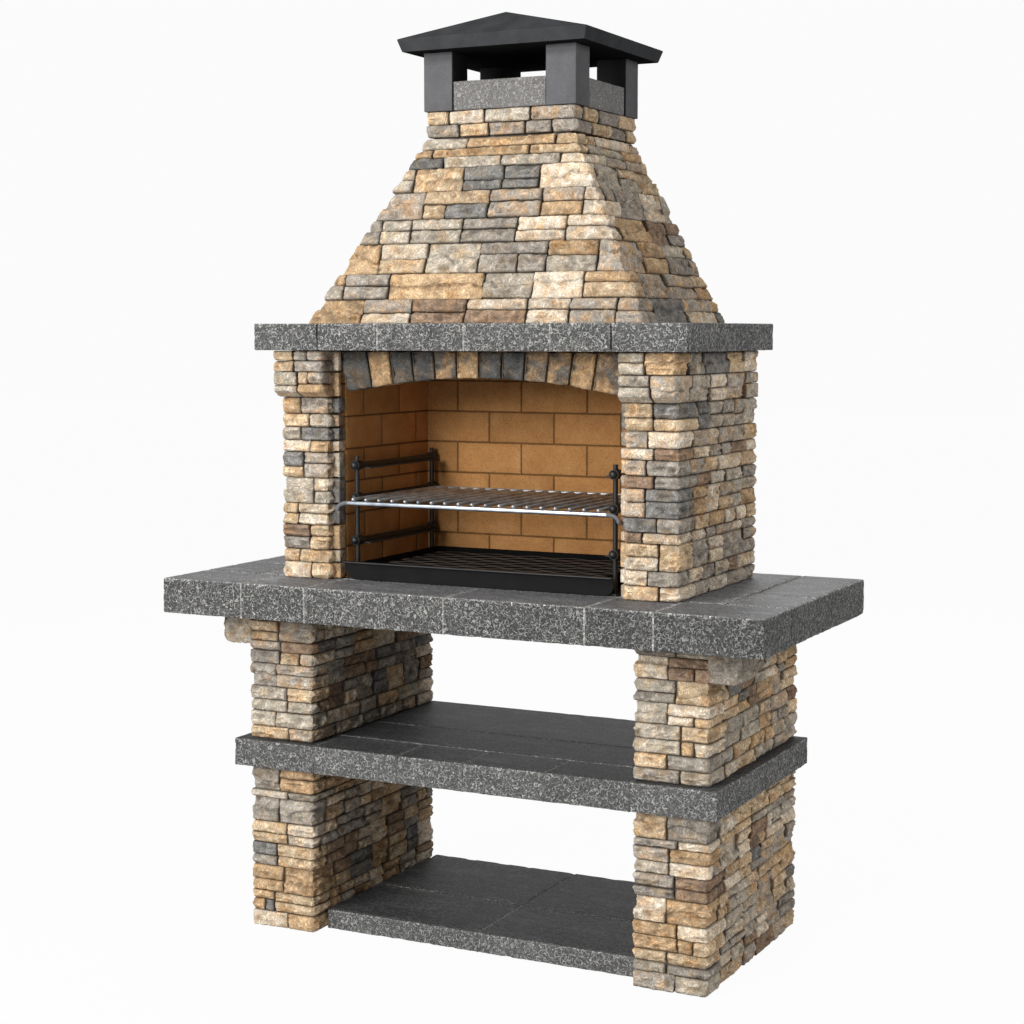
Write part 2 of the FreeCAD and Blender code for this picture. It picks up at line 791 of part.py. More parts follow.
def grill():
    """Rods across a front bar, a back bar and two cross bars; the outer rods lie on the middle rails."""
    seat = worktop_top + dims.rail_middle + dims.rest_gap
    rod_z = seat + dims.rod_radius
    bar_z = seat - dims.front_bar_radius - dims.weld_gap
    bar_y = firebox_front + dims.front_bar_back
    back_y = bar_y + dims.grill_deep
    outer_rod = rail_outer - dims.rail_sheet - dims.rod_inset
    bar_half = dims.front_bar_wide / 2
    node("grill_front_bar", round_bar("grill_front_bar", "x", dims.front_bar_radius,
                                      (-bar_half, bar_y, bar_z), dims.front_bar_wide))
    back_half = outer_rod + dims.rod_radius
    node("grill_back_bar", round_bar("grill_back_bar", "x", dims.rod_radius,
                                     (-back_half, back_y, rod_z), back_half * 2))
    count = int(value(dims.rod_count))
    pitch = outer_rod * 2 / (dims.rod_count - 1)
    start = bar_y - dims.rod_overhang
    length = back_y - dims.rod_radius - dims.weld_gap - start
    rods = []
    for number in range(count):
        rods.append(round_bar(f"grill_rod_{number}", "y", dims.rod_radius,
                              (pitch * number - outer_rod, start, rod_z), length))
    node("grill_rods", *rods)
    cross_half = rail_inner - dims.cross_bar_gap
    middle = (bar_y + back_y) / 2
    crosses = []
    for number, shift in enumerate((-dims.cross_bar_pitch / 2, dims.cross_bar_pitch / 2)):
        cross_z = seat - dims.rod_radius - dims.weld_gap
        crosses.append(round_bar(f"grill_cross_{number}", "x", dims.rod_radius,
                                 (-cross_half, middle + shift, cross_z), cross_half * 2))
    node("grill_cross_bars", *crosses)
    for name, side in sides.items():
        lug(f"grill_{name}_handle", side, bar_half, bar_y, bar_z)


def lug(name, side, start, bar_y, bar_z):
    """A flat hooked handle at the end of the front bar."""
    neck_tall = dims.lug_neck / 2
    tip = start + dims.lug_long
    low = bar_z - dims.lug_drop
    corners = [(start, bar_z - neck_tall), (start, bar_z + neck_tall), (tip, bar_z + neck_tall), (tip, low),
               (tip - dims.lug_foot, low), (tip - dims.lug_foot - dims.lug_slope, bar_z - neck_tall)]
    corners = [(across * side, up) for across, up in corners]
    body = prism(name, "XZ_Plane", corners, -(bar_y + dims.lug_thick / 2), dims.lug_thick)
    limit = value(start)
    round_edges(body, dims.lug_round,
                lambda one, two: abs(one.y - two.y) > touching and abs(one.x) > limit + touching)
    node(name, body)


def tray():
    """A pressed pan between the posts, with a wider front plate that stands before them."""
    base = worktop_top + dims.rest_gap
    top = base + dims.tray_tall
    front = firebox_front + dims.tray_front
    back = front + dims.tray_deep
    half = dims.tray_wide / 2
    flare = dims.tray_flare
    wall = dims.tray_sheet
    body = doc.addObject("PartDesign::Body", "ember_tray")
    sections = [
        ("outer_base", base, both_ways(half), (front, back)),
        ("outer_top", top, both_ways(half + flare), (front - flare, back + flare)),
        ("inner_base", base + wall, both_ways(half - wall), (front + wall, back - wall)),
        ("inner_top", top, both_ways(half + flare - wall), (front - flare + wall, back + flare - wall)),
    ]
    drawn = [outline(body, f"tray_{name}", "XY_Plane", z, rectangle(x, y)) for name, z, x, y in sections]
    outer = body.newObject("PartDesign::AdditiveLoft", "tray_outside")
    outer.Profile = drawn[0]
    outer.Sections = [drawn[1]]
    doc.recompute()
    inner = body.newObject("PartDesign::SubtractiveLoft", "tray_inside")
    inner.Profile = drawn[2]
    inner.Sections = [drawn[3]]
    node("ember_tray", body)
    lip = top + wall
    corners = [
        (front, base),
        (front - flare, top),
        (front - flare, lip),
        (front - flare - wall - dims.tray_lip, lip),
        (front - flare - wall - dims.tray_lip, top),
        (front - flare - wall, top),
        (front - wall, base),
    ]
    plate_half = dims.tray_front_wide / 2
    plate = prism("tray_front_plate", "YZ_Plane", corners, -plate_half, dims.tray_front_wide)
    node("tray_front_plate", plate)
    grate(base + wall, front, back)


def grate(bed, front, back):
    """A cast plate on four feet, with two staggered sets of slots along X."""
    half = dims.grate_wide / 2
    y = (front + dims.grate_margin, back - dims.grate_margin)
    under = bed + dims.rest_gap + dims.grate_height
    top = under + dims.grate_thick
    body = prism("ember_grate", "XY_Plane", rectangle(both_ways(half), y), under, dims.grate_thick)
    pitch_x = dims.slot_long + dims.slot_bridge
    pitch_y = (dims.slot_wide + dims.slot_bar) * 2
    columns = dims.slot_columns - 1
    rows = dims.slot_rows - 1
    slot_x = -(pitch_x * columns + dims.slot_long) / 2
    slot_y = (y[0] + y[1] - pitch_y * rows - dims.slot_wide) / 2
    stagger = pitch_x / 2
    sets = {
        "even": (slot_x - stagger / 2, slot_y - pitch_y / 4),
        "odd": (slot_x + stagger / 2, slot_y + pitch_y / 4),
    }
    for name, (start, low) in sets.items():
        doc.recompute()
        corners = rectangle((start, start + dims.slot_long), (low, low + dims.slot_wide))
        sketch = outline(body, f"grate_{name}_slot", "XY_Plane", top, corners)
        pocket = body.newObject("PartDesign::Pocket", f"grate_{name}_pocket")
        pocket.Profile = sketch
        pocket.Type = "ThroughAll"
        doc.recompute()
        grid = body.newObject("PartDesign::MultiTransform", f"grate_{name}_grid")
        grid.Originals = [pocket]
        steps = []
        for axis, length, count in (("H_Axis", pitch_x * columns, dims.slot_columns),
                                    ("V_Axis", pitch_y * rows, dims.slot_rows)):
            pattern = doc.addObject("PartDesign::LinearPattern", f"grate_{name}_{axis[0].lower()}_pattern")
            pattern.Direction = (sketch, [axis])
            pattern.setExpression("Length", str(length))
            pattern.setExpression("Occurrences", str(count))
            body.addObject(pattern)
            steps.append(pattern)
        grid.Transformations = steps
        body.Tip = grid
    node("ember_grate", body)
    foot = dims.grate_foot
    feet = []
    for end, (low, high) in {"front": (y[0], y[0] + foot), "back": (y[1] - foot, y[1])}.items():
        for name, side in sides.items():
            x = sided(side, half - foot, half)
            feet.append(block(f"grate_foot_{end}_{name}", x, (low, high), (bed + dims.rest_gap, under)))
    node("grate_feet", *feet)


ground_slab()
for name, side in sides.items():
    leg(f"{name}_lower_leg", side, (floor, shelf_base))
shelf()
for name, side in sides.items():
    leg(f"{name}_upper_leg", side, (shelf_top, worktop_base), worktop_base - dims.corbel_tall)
    corbel(f"{name}_corbel", side)
worktop()
for name, side in sides.items():
    cheek(name, side)
firebox_back_wall()
arch()
mantel()
hood()
neck()
chimney_cap()
for name, side in sides.items():
    rack(name, side)
grill()
tray()
doc.recompute()

for item in doc.Objects:
    for state in ("Invalid", "Error"):
        if state in item.State:
            raise RuntimeError(f"{item.Name} failed: {item.State}")
for piece in nodes:
    shape = piece.Shape
    if shape.isNull() or not shape.isValid() or not shape.Solids:
        raise RuntimeError(f"{piece.Label} has no sound solid")

os.makedirs("parts", exist_ok=True)
for piece in nodes:
    piece.Shape.exportStep(f"parts/{piece.Label}.step")
    print(piece.Label, len(piece.Shape.Solids), round(piece.Shape.Volume / 1000.0, 1))
print(len(nodes), "nodes")
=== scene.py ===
import json
import math

import bpy
import numpy as np
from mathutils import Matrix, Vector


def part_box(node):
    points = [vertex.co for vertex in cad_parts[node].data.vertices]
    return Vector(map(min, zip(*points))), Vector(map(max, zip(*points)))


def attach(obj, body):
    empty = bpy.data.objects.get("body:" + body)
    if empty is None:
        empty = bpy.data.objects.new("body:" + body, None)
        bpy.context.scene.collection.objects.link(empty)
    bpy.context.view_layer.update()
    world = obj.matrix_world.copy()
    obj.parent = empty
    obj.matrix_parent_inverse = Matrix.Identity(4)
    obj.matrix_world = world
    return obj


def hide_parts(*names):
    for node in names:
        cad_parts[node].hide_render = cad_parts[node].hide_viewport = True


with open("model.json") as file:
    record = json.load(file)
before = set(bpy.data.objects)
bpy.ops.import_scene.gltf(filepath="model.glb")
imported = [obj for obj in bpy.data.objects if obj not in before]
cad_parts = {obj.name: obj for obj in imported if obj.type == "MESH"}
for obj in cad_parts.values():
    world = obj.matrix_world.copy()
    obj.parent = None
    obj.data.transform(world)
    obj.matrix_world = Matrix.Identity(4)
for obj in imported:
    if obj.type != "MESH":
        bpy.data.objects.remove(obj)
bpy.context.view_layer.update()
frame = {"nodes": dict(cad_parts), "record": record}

mm = 0.001  # sizes below are in millimetres, Blender works in metres
print("frame:", len(frame["nodes"]), "nodes")


def linear(hexColour):
    # sRGB hex to linear light: the standard curve, applied to each channel
    parts = np.array([int(hexColour[at:at + 2], 16) for at in (1, 3, 5)]) / 255
    return np.where(parts <= 0.04045, parts / 12.92, ((parts + 0.055) / 1.055) ** 2.4)


def rgba(hexColour):
    return (*linear(hexColour), 1.0)


def plug(tree, node, inputs):
    # a node's inputs: a value, a socket, or another node for its first output in use
    for socket, value in inputs.items():
        if isinstance(value, bpy.types.Node):
            value = next(output for output in value.outputs if output.enabled)
        if isinstance(value, bpy.types.NodeSocket):
            tree.links.new(value, node.inputs[socket])
        else:
            node.inputs[socket].default_value = value


def put(tree, kind, inputs=None, stops=(), **settings):
    # one node: its own settings, its inputs and a ramp's stops
    node = tree.nodes.new("ShaderNode" + kind)
    for key, value in settings.items():
        setattr(node, key, value)
    plug(tree, node, inputs or {})
    if stops:
        ramp = node.color_ramp.elements
        while len(ramp) < len(stops):
            ramp.new(0.5)
        for element, (position, colour) in zip(ramp, stops):
            element.position = position
            element.color = colour if isinstance(colour, tuple) else (colour, colour, colour, 1)
    return node


blending = dict(data_type="RGBA")  # settings of a colour mix that lays one tone over another
shading = dict(data_type="RGBA", blend_type="MULTIPLY")  # and of one that darkens a tone


def newFinish(name):
    material = bpy.data.materials.new(name)
    material.use_nodes = True
    tree = material.node_tree
    return material, tree, tree.nodes["Principled BSDF"]


def perMetre(size):
    return 1 / (size * mm)  # a texture's scale, from the size of its pattern in millimetres


# Split ledge stone: hammer-broken sandstone and schist, matt, each strip clouded in two tones of its own
# and drawn over with pale growth lines (finer on the real stone, drawn coarser so that they show)
splitLook = dict(cloud=34, stain=30, rust=(1.02, 0.86, 0.67), mottle=8, grit=2.0, swirl=24, rings=7,
                 paler=(1.8, 1.8, 1.76), apart=9.0, roughness=0.88, shine=0.25, relief=1.6)


def splitStoneFinish():
    material, tree, shader = newFinish("hammerSplitLedgeStone")
    place = put(tree, "TexCoord").outputs["Object"]
    toneA = put(tree, "Attribute", attribute_name="toneA")
    toneB = put(tree, "Attribute", attribute_name="toneB")
    # every strip has its own shift, so no pattern runs on across a joint
    shift = put(tree, "Math", {0: toneB.outputs["Alpha"], 1: splitLook["apart"]}, operation="MULTIPLY")
    spot = put(tree, "VectorMath", {0: place, 1: shift}, operation="ADD")
    cloud = put(tree, "TexNoise", {"Vector": spot, "Scale": perMetre(splitLook["cloud"]), "Detail": 3.0,
                                   "Roughness": 0.55, "Distortion": 0.5})
    cloudMask = put(tree, "ValToRGB", {0: cloud}, [(0.44, 0.0), (0.68, 1.0)])
    tone = put(tree, "Mix", {0: cloudMask, 6: toneA, 7: toneB}, **blending)
    # rust has bled into some of it
    stain = put(tree, "TexNoise", {"Vector": spot, "Scale": perMetre(splitLook["stain"]), "Detail": 2.0})
    stainMask = put(tree, "ValToRGB", {0: stain}, [(0.50, 0.0), (0.68, 0.8)])
    rusty = put(tree, "VectorMath", {0: tone, 1: splitLook["rust"]}, operation="MULTIPLY")
    tone = put(tree, "Mix", {0: stainMask, 6: tone, 7: rusty}, **blending)
    mottle = put(tree, "TexNoise", {"Vector": spot, "Scale": perMetre(splitLook["mottle"]), "Detail": 4.0,
                                    "Roughness": 0.66, "Distortion": 1.2})
    mottleShade = put(tree, "ValToRGB", {0: mottle}, [(0.28, 0.58), (0.5, 0.96), (0.72, 1.2)])
    mottled = put(tree, "Mix", {0: 0.8, 6: tone, 7: mottleShade}, **shading)
    # growth lines: level lines of a slow noise, like the rings of a map, drawn pale
    slow = put(tree, "TexNoise", {"Vector": spot, "Scale": perMetre(splitLook["swirl"]), "Detail": 1.5,
                                  "Roughness": 0.5, "Distortion": 0.9})
    rings = put(tree, "Math", {0: slow, 1: splitLook["rings"]}, operation="MULTIPLY")
    within = put(tree, "Math", {0: rings}, operation="FRACT")
    ringLine = put(tree, "ValToRGB", {0: within}, [(0.0, 0.0), (0.25, 0.0), (0.5, 0.85), (0.75, 0.0)])
    paler = put(tree, "VectorMath", {0: mottled, 1: splitLook["paler"]}, operation="MULTIPLY")
    lined = put(tree, "Mix", {0: ringLine, 6: mottled, 7: paler}, **blending)
    # painted shade: the colour is darkened along the joints and the broken ledges, where shade would gather
    paintedJointShade = put(tree, "ValToRGB", {0: toneA.outputs["Alpha"]}, [(0.0, 0.36), (0.5, 0.82), (1.0, 1.0)])
    withJointShade = put(tree, "Mix", {0: 1.0, 6: lined, 7: paintedJointShade}, **shading)
    grit = put(tree, "TexNoise", {"Vector": spot, "Scale": perMetre(splitLook["grit"]), "Detail": 3.0,
                                  "Roughness": 0.65})
    broken = put(tree, "Math", {0: grit, 1: mottle}, operation="ADD")
    broken = put(tree, "Math", {0: broken, 1: ringLine}, operation="ADD")
    bump = put(tree, "Bump", {"Strength": 0.7, "Distance": splitLook["relief"] * mm, "Height": broken})
    plug(tree, shader, {"Base Color": withJointShade, "Normal": bump, "Roughness": splitLook["roughness"],
                        "Specular IOR Level": splitLook["shine"]})
    return material


# Bush-hammered basalt: dark grey, pitted, with pale curled bruises and a few white flecks; finer and paler on the cap,
# painted paler on the faces of the slabs under the worktop, with little sheen there, as those slabs stand in shade; the
# tops are honed and sealed, darker, with a sheen at a low angle
# curls: (cell, radius, half width of the line, shift of the pattern), in mm
basaltLook = dict(warp=12, sway=5, patch=80, pore=3.0, fleck=6, white="#d5d3cf", relief=1.5,
                  curls=((7.5, 6.0, 1.05, 0), (9, 4.2, 1.1, 370), (11, 8.5, 1.1, 810)),
                  topPatch=45, topScratch=14, topCover=0.72, topTones=("#252527", "#363638", "#5a5a5e"),
                  topDrawn=(0.3, 1.0, 1.0), scratched="#8f8f92")
basaltMixes = dict(
    bushHammeredBasalt=dict(ground=("#3f3f3f", "#494948", "#545453"), bruise="#b0afac", shine=0.16),
    fineHammeredBasalt=dict(ground=("#6f6d6b", "#767472", "#7d7b79"), bruise="#b0aeab", shine=0.16),
    shelteredBasalt=dict(ground=("#505050", "#5a5a59", "#666665"), bruise="#bebdba", shine=0.05),
)


def basaltFinish(name):
    mix = basaltMixes[name]
    material, tree, shader = newFinish(name)
    place = put(tree, "TexCoord").outputs["Object"]
    mark = put(tree, "Attribute", attribute_name="toneA")
    honed = mark.outputs["Alpha"]
    patch = put(tree, "TexNoise", {"Vector": place, "Scale": perMetre(basaltLook["patch"]), "Detail": 5.0,
                                   "Roughness": 0.62})
    ground = put(tree, "ValToRGB", {0: patch}, list(zip((0.30, 0.55, 0.75), map(rgba, mix["ground"]))))
    pore = put(tree, "TexNoise", {"Vector": place, "Scale": perMetre(basaltLook["pore"]), "Detail": 3.0,
                                  "Roughness": 0.7})
    poreShade = put(tree, "ValToRGB", {0: pore}, [(0.30, 0.6), (0.5, 0.95), (0.72, 1.2)])
    hammered = put(tree, "Mix", {0: 0.8, 6: ground, 7: poreShade}, **shading)
    # curled bruises: in each cell of a random lattice an arc of a circle about a point beside the cell's own,
    # bent by a noise, faint in most cells and white in a few
    warp = put(tree, "TexNoise", {"Vector": place, "Scale": perMetre(basaltLook["warp"]), "Detail": 1.0})
    bent = put(tree, "VectorMath", {0: warp.outputs["Color"], 1: (basaltLook["sway"] * mm,) * 3, 2: place},
               operation="MULTIPLY_ADD")
    height = pore
    for cell, radius, wide, shift in basaltLook["curls"]:
        moved = put(tree, "VectorMath", {0: bent, 1: (shift * mm,) * 3}, operation="ADD")
        cells = put(tree, "TexVoronoi", {"Vector": moved, "Scale": perMetre(cell)})
        aside = put(tree, "VectorMath", {0: cells.outputs["Color"], 1: (cell * mm,) * 3, 2: (-cell * mm / 2,) * 3},
                    operation="MULTIPLY_ADD")
        centre = put(tree, "VectorMath", {0: cells.outputs["Position"], 1: aside}, operation="ADD")
        apart = put(tree, "VectorMath", {0: moved, 1: centre}, operation="DISTANCE")
        off = put(tree, "Math", {0: apart, 1: radius * mm}, operation="SUBTRACT")
        off = put(tree, "Math", {0: off}, operation="ABSOLUTE")
        line = put(tree, "MapRange", {0: off, 1: wide * mm, 2: 0.0})
        strength = put(tree, "ValToRGB", {0: cells.outputs["Color"]}, [(0.34, 0.14), (0.56, 0.45), (0.70, 1.0)])
        curl = put(tree, "Math", {0: line, 1: strength}, operation="MULTIPLY")
        hammered = put(tree, "Mix", {0: curl, 6: hammered, 7: rgba(mix["bruise"])}, **blending)
        height = put(tree, "Math", {0: height, 1: curl}, operation="ADD")
    fleck = put(tree, "TexNoise", {"Vector": bent, "Scale": perMetre(basaltLook["fleck"]), "Detail": 1.0})
    white = put(tree, "ValToRGB", {0: fleck}, [(0.70, 0.0), (0.76, 0.85)])
    hammered = put(tree, "Mix", {0: white, 6: hammered, 7: rgba(basaltLook["white"])}, **blending)
    # honed tops: darker, closed, with cloudy streaks along the stone
    drawn = put(tree, "VectorMath", {0: place, 1: basaltLook["topDrawn"]}, operation="MULTIPLY")
    cloud = put(tree, "TexNoise", {"Vector": drawn, "Scale": perMetre(basaltLook["topPatch"]), "Detail": 6.0,
                                   "Roughness": 0.66, "Distortion": 0.6})
    topTone = put(tree, "ValToRGB", {0: cloud}, list(zip((0.32, 0.52, 0.72), map(rgba, basaltLook["topTones"]))))
    scratch = put(tree, "TexNoise", {"Vector": drawn, "Scale": perMetre(basaltLook["topScratch"]), "Detail": 3.0,
                                     "Distortion": 1.5})
    scratchOff = put(tree, "Math", {0: scratch, 1: 0.5}, operation="SUBTRACT")
    scratchNear = put(tree, "Math", {0: scratchOff}, operation="ABSOLUTE")
    scratchLine = put(tree, "ValToRGB", {0: scratchNear}, [(0.0, 0.34), (0.03, 0.0)])
    topTinted = put(tree, "Mix", {0: scratchLine, 6: topTone, 7: rgba(basaltLook["scratched"])}, **blending)
    cover = put(tree, "Math", {0: honed, 1: basaltLook["topCover"]}, operation="MULTIPLY")
    tone = put(tree, "Mix", {0: cover, 6: hammered, 7: topTinted}, **blending)
    # each stone is a shade lighter or darker than the next; the attribute also carries the painted light and shade:
    # paler arrises (wear and a painted highlight), tops painted lighter or darker, darker crags
    shaded = put(tree, "Mix", {0: 1.0, 6: tone, 7: mark}, **shading)
    gloss = put(tree, "MapRange", {0: honed, 3: 0.66, 4: 0.46})
    glossed = put(tree, "Math", {0: pore, 1: 0.24, 2: gloss}, operation="MULTIPLY_ADD")
    firm = put(tree, "MapRange", {0: honed, 3: 0.55, 4: 0.2})
    bump = put(tree, "Bump", {"Strength": firm, "Distance": basaltLook["relief"] * mm, "Height": height})
    plug(tree, shader, {"Base Color": shaded, "Normal": bump, "Roughness": glossed, "Specular IOR Level": mix["shine"]})
    return material


# Buff firebrick: pressed chamotte, matt, tan to orange-brown, peppered with fine grog
brickLook = dict(cloud=60, grog=3.4, clay=("#b6814e", "#c08b55", "#ca9762"), roughness=0.9, shine=0.2, relief=0.8)


def firebrickFinish():
    material, tree, shader = newFinish("pressedFirebrick")
    place = put(tree, "TexCoord").outputs["Object"]
    mark = put(tree, "Attribute", attribute_name="toneA")
    cloud = put(tree, "TexNoise", {"Vector": place, "Scale": perMetre(brickLook["cloud"]), "Detail": 5.0,
                                   "Roughness": 0.6})
    clay = put(tree, "ValToRGB", {0: cloud}, list(zip((0.30, 0.52, 0.74), map(rgba, brickLook["clay"]))))
    grog = put(tree, "TexNoise", {"Vector": place, "Scale": perMetre(brickLook["grog"]), "Detail": 3.0,
                                  "Roughness": 0.75})
    pepper = put(tree, "ValToRGB", {0: grog}, [(0.30, 0.5), (0.46, 0.98), (0.72, 1.25)])
    peppered = put(tree, "Mix", {0: 0.8, 6: clay, 7: pepper}, **shading)
    shaded = put(tree, "Mix", {0: 1.0, 6: peppered, 7: mark}, **shading)
    # painted shade: each brick is darkened along its edges, beside the recessed joints
    paintedJointShade = put(tree, "ValToRGB", {0: mark.outputs["Alpha"]}, [(0.0, 0.6), (0.4, 1.0)])
    withJointShade = put(tree, "Mix", {0: 1.0, 6: shaded, 7: paintedJointShade}, **shading)
    bump = put(tree, "Bump", {"Strength": 0.35, "Distance": brickLook["relief"] * mm, "Height": grog})
    plug(tree, shader, {"Base Color": withJointShade, "Normal": bump, "Roughness": brickLook["roughness"],
                        "Specular IOR Level": brickLook["shine"]})
    return material


# Cast concrete: dense and smooth from the mould, cloudy, with pinholes, painted near black inside the cap as shade;
# one recipe for three mixes
castLook = dict(cloud=55, sand=2.0, relief=0.6)
castMixes = dict(
    mouldedGreyConcrete=dict(dark="#616163", pale="#6f6f71", roughness=0.7, shine=0, sooted=True),
    mouldedAnthraciteConcrete=dict(dark="#3e3f41", pale="#4a4b4c", roughness=0.7, shine=0, sooted=True),
    roughCastConcrete=dict(dark="#6d6962", pale="#8f8a81", roughness=0.9, shine=0.15, sooted=False),
)


def castFinish(name):
    mix = castMixes[name]
    material, tree, shader = newFinish(name)
    place = put(tree, "TexCoord").outputs["Object"]
    cloud = put(tree, "TexNoise", {"Vector": place, "Scale": perMetre(castLook["cloud"]), "Detail": 6.0,
                                   "Roughness": 0.6})
    tone = put(tree, "ValToRGB", {0: cloud}, [(0.32, rgba(mix["dark"])), (0.70, rgba(mix["pale"]))])
    sand = put(tree, "TexNoise", {"Vector": place, "Scale": perMetre(castLook["sand"]), "Detail": 2.0})
    speck = put(tree, "ValToRGB", {0: sand}, [(0.32, 0.80), (0.5, 1.0), (0.70, 1.12)])
    toned = put(tree, "Mix", {0: 0.7, 6: tone, 7: speck}, **shading)
    if mix["sooted"]:
        capShade = put(tree, "Attribute", attribute_name="toneA")
        toned = put(tree, "Mix", {0: 1.0, 6: toned, 7: capShade}, **shading)
    bump = put(tree, "Bump", {"Strength": 0.25, "Distance": castLook["relief"] * mm, "Height": sand})
    plug(tree, shader, {"Base Color": toned, "Normal": bump, "Roughness": mix["roughness"],
                        "Specular IOR Level": mix["shine"]})
    return material


# Blackened metalwork: stove-painted steel with a low sheen, and cast iron, browner and coarser
ironCloud = 40
ironMixes = dict(
    stovePaintedSteel=dict(dark="#121212", pale="#1c1c1c", roughness=0.44, grain=1.4, depth=0.12, shine=0.42),
    sootedSteel=dict(dark="#0a0a0a", pale="#121211", roughness=0.8, grain=1.4, depth=0.12, shine=0.06),
    greyCastHandle=dict(dark="#58595b", pale="#77787a", roughness=0.5, grain=1.6, depth=0.2, shine=0.3),
    burntCastIron=dict(dark="#080707", pale="#12100e", roughness=0.8, grain=2.0, depth=0.35, shine=0.04,
                       rubbed="#94877b"),
    sandCastIron=dict(dark="#0b0a0a", pale="#1b1815", roughness=0.78, grain=2.0, depth=0.35, shine=0.2),
)


def ironFinish(name):
    mix = ironMixes[name]
    material, tree, shader = newFinish(name)
    place = put(tree, "TexCoord").outputs["Object"]
    cloud = put(tree, "TexNoise", {"Vector": place, "Scale": perMetre(ironCloud), "Detail": 5.0, "Roughness": 0.6})
    tone = put(tree, "ValToRGB", {0: cloud}, [(0.30, rgba(mix["dark"])), (0.72, rgba(mix["pale"]))])
    if "rubbed" in mix:  # painted highlight: grey and brown on the tops, as light falls there; black on the sides and in the gaps
        mark = put(tree, "Attribute", attribute_name="toneA")
        tone = put(tree, "Mix", {0: mark, 6: tone, 7: rgba(mix["rubbed"])}, **blending)
    grit = put(tree, "TexNoise", {"Vector": place, "Scale": perMetre(mix["grain"]), "Detail": 2.0})
    worn = put(tree, "Math", {0: grit, 1: 0.2, 2: mix["roughness"] - 0.1}, operation="MULTIPLY_ADD")
    bump = put(tree, "Bump", {"Strength": 0.4, "Distance": mix["depth"] * mm, "Height": grit})
    plug(tree, shader, {"Base Color": tone, "Normal": bump, "Roughness": worn, "Specular IOR Level": mix["shine"]})
    return material


# Bright plated rod: drawn steel under chrome with cloudy heat marks; over the fire it is dulled by fat and smoke
platedMixes = dict(
    chromePlatedRod=dict(haze=30, bright="#cfd8e2", dull="#a5adb7", roughness=0.28, metal=1.0),
    smokedPlatedRod=dict(haze=45, bright="#c9cbcd", dull="#8d9092", roughness=0.44, metal=0.6),
)


def platedFinish(name):
    mix = platedMixes[name]
    material, tree, shader = newFinish(name)
    place = put(tree, "TexCoord").outputs["Object"]
    haze = put(tree, "TexNoise", {"Vector": place, "Scale": perMetre(mix["haze"]), "Detail": 4.0})
    tone = put(tree, "ValToRGB", {0: haze}, [(0.30, rgba(mix["dull"])), (0.62, rgba(mix["bright"]))])
    worn = put(tree, "Math", {0: haze, 1: 0.2, 2: mix["roughness"] - 0.06}, operation="MULTIPLY_ADD")
    plug(tree, shader, {"Base Color": tone, "Roughness": worn, "Metallic": mix["metal"]})
    return material


finishes = dict(
    split_stone=splitStoneFinish(),
    basalt=basaltFinish("bushHammeredBasalt"),
    firebrick=firebrickFinish(),
    cap_concrete=castFinish("mouldedGreyConcrete"),
    roof_concrete=castFinish("mouldedAnthraciteConcrete"),
    concrete_core=castFinish("roughCastConcrete"),
    black_steel=ironFinish("stovePaintedSteel"),
    cast_iron_grate=ironFinish("sandCastIron"),
    bright_steel=platedFinish("chromePlatedRod"),
)
finishes["arch_stone"] = finishes["split_stone"]
print("finishes:", len(finishes))


def boxOf(node):
    low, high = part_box(node)
    return np.array(low) / mm, np.array(high) / mm


def sidesOf(node):
    # a node's extents along X, Y and Z
    return np.array(boxOf(node)).T


def cornersOf(x, y, z):
    # a box's low and high corner from its extents
    return np.array([x, y, z], float).T


hashPrimes = np.array([374761393, 668265263, 2147483647])


def grain(points, size, seed):
    # smooth noise in -1..1: hashed values at the corners of a lattice of that size, blended across each cell
    cells = np.asarray(points, float) / size
    base = np.floor(cells).astype(np.int64)
    part = cells - base
    part = part * part * (3 - 2 * part)
    total = np.zeros(cells.shape[:-1])
    for corner in range(8):
        step = np.array([corner & 1, corner >> 1 & 1, corner >> 2 & 1])
        key = ((base + step) * hashPrimes).sum(-1) + seed * 1274126177
        key = (key ^ (key >> 13)) * 1103515245 & 0xFFFFFFFF
        key = (key ^ (key >> 16)) * 668265263 & 0xFFFFFFFF
        weight = np.where(step == 1, part, 1 - part).prod(-1)
        total += weight * ((key ^ (key >> 15)) / 2 ** 31 - 1)
    return total


usualCrease = 38  # edges bent by more degrees than this stay sharp


def makePiece(name, points, faceSets, slotName, nodes, body="masonry", tones=None, crease=usualCrease, finish=None):
    # a mesh from whole arrays: points in mm, faces by size, and colours for each point; then its body and slot
    mesh = bpy.data.meshes.new(name)
    mesh.vertices.add(len(points))
    mesh.vertices.foreach_set("co", (np.asarray(points) * mm).astype(np.float32).ravel())
    loops = np.concatenate([faces.ravel() for faces in faceSets]).astype(np.int32)
    sizes = np.concatenate([np.full(len(faces), faces.shape[1]) for faces in faceSets])
    mesh.loops.add(len(loops))
    mesh.loops.foreach_set("vertex_index", loops)
    mesh.polygons.add(len(sizes))
    mesh.polygons.foreach_set("loop_start", (np.cumsum(sizes) - sizes).astype(np.int32))
    mesh.update(calc_edges=True)
    mesh.polygons.foreach_set("use_smooth", np.ones(len(sizes), bool))
    mesh.validate()
    mesh.set_sharp_from_angle(angle=math.radians(crease))
    for key, colours in (tones or {}).items():
        layer = mesh.color_attributes.new(key, "FLOAT_COLOR", "POINT")
        layer.data.foreach_set("color", np.asarray(colours, np.float32).ravel())
    mesh.materials.append(finish or finishes[slotName])
    piece = bpy.data.objects.new(name, mesh)
    bpy.context.scene.collection.objects.link(piece)
    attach(piece, body)
    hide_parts(*nodes)


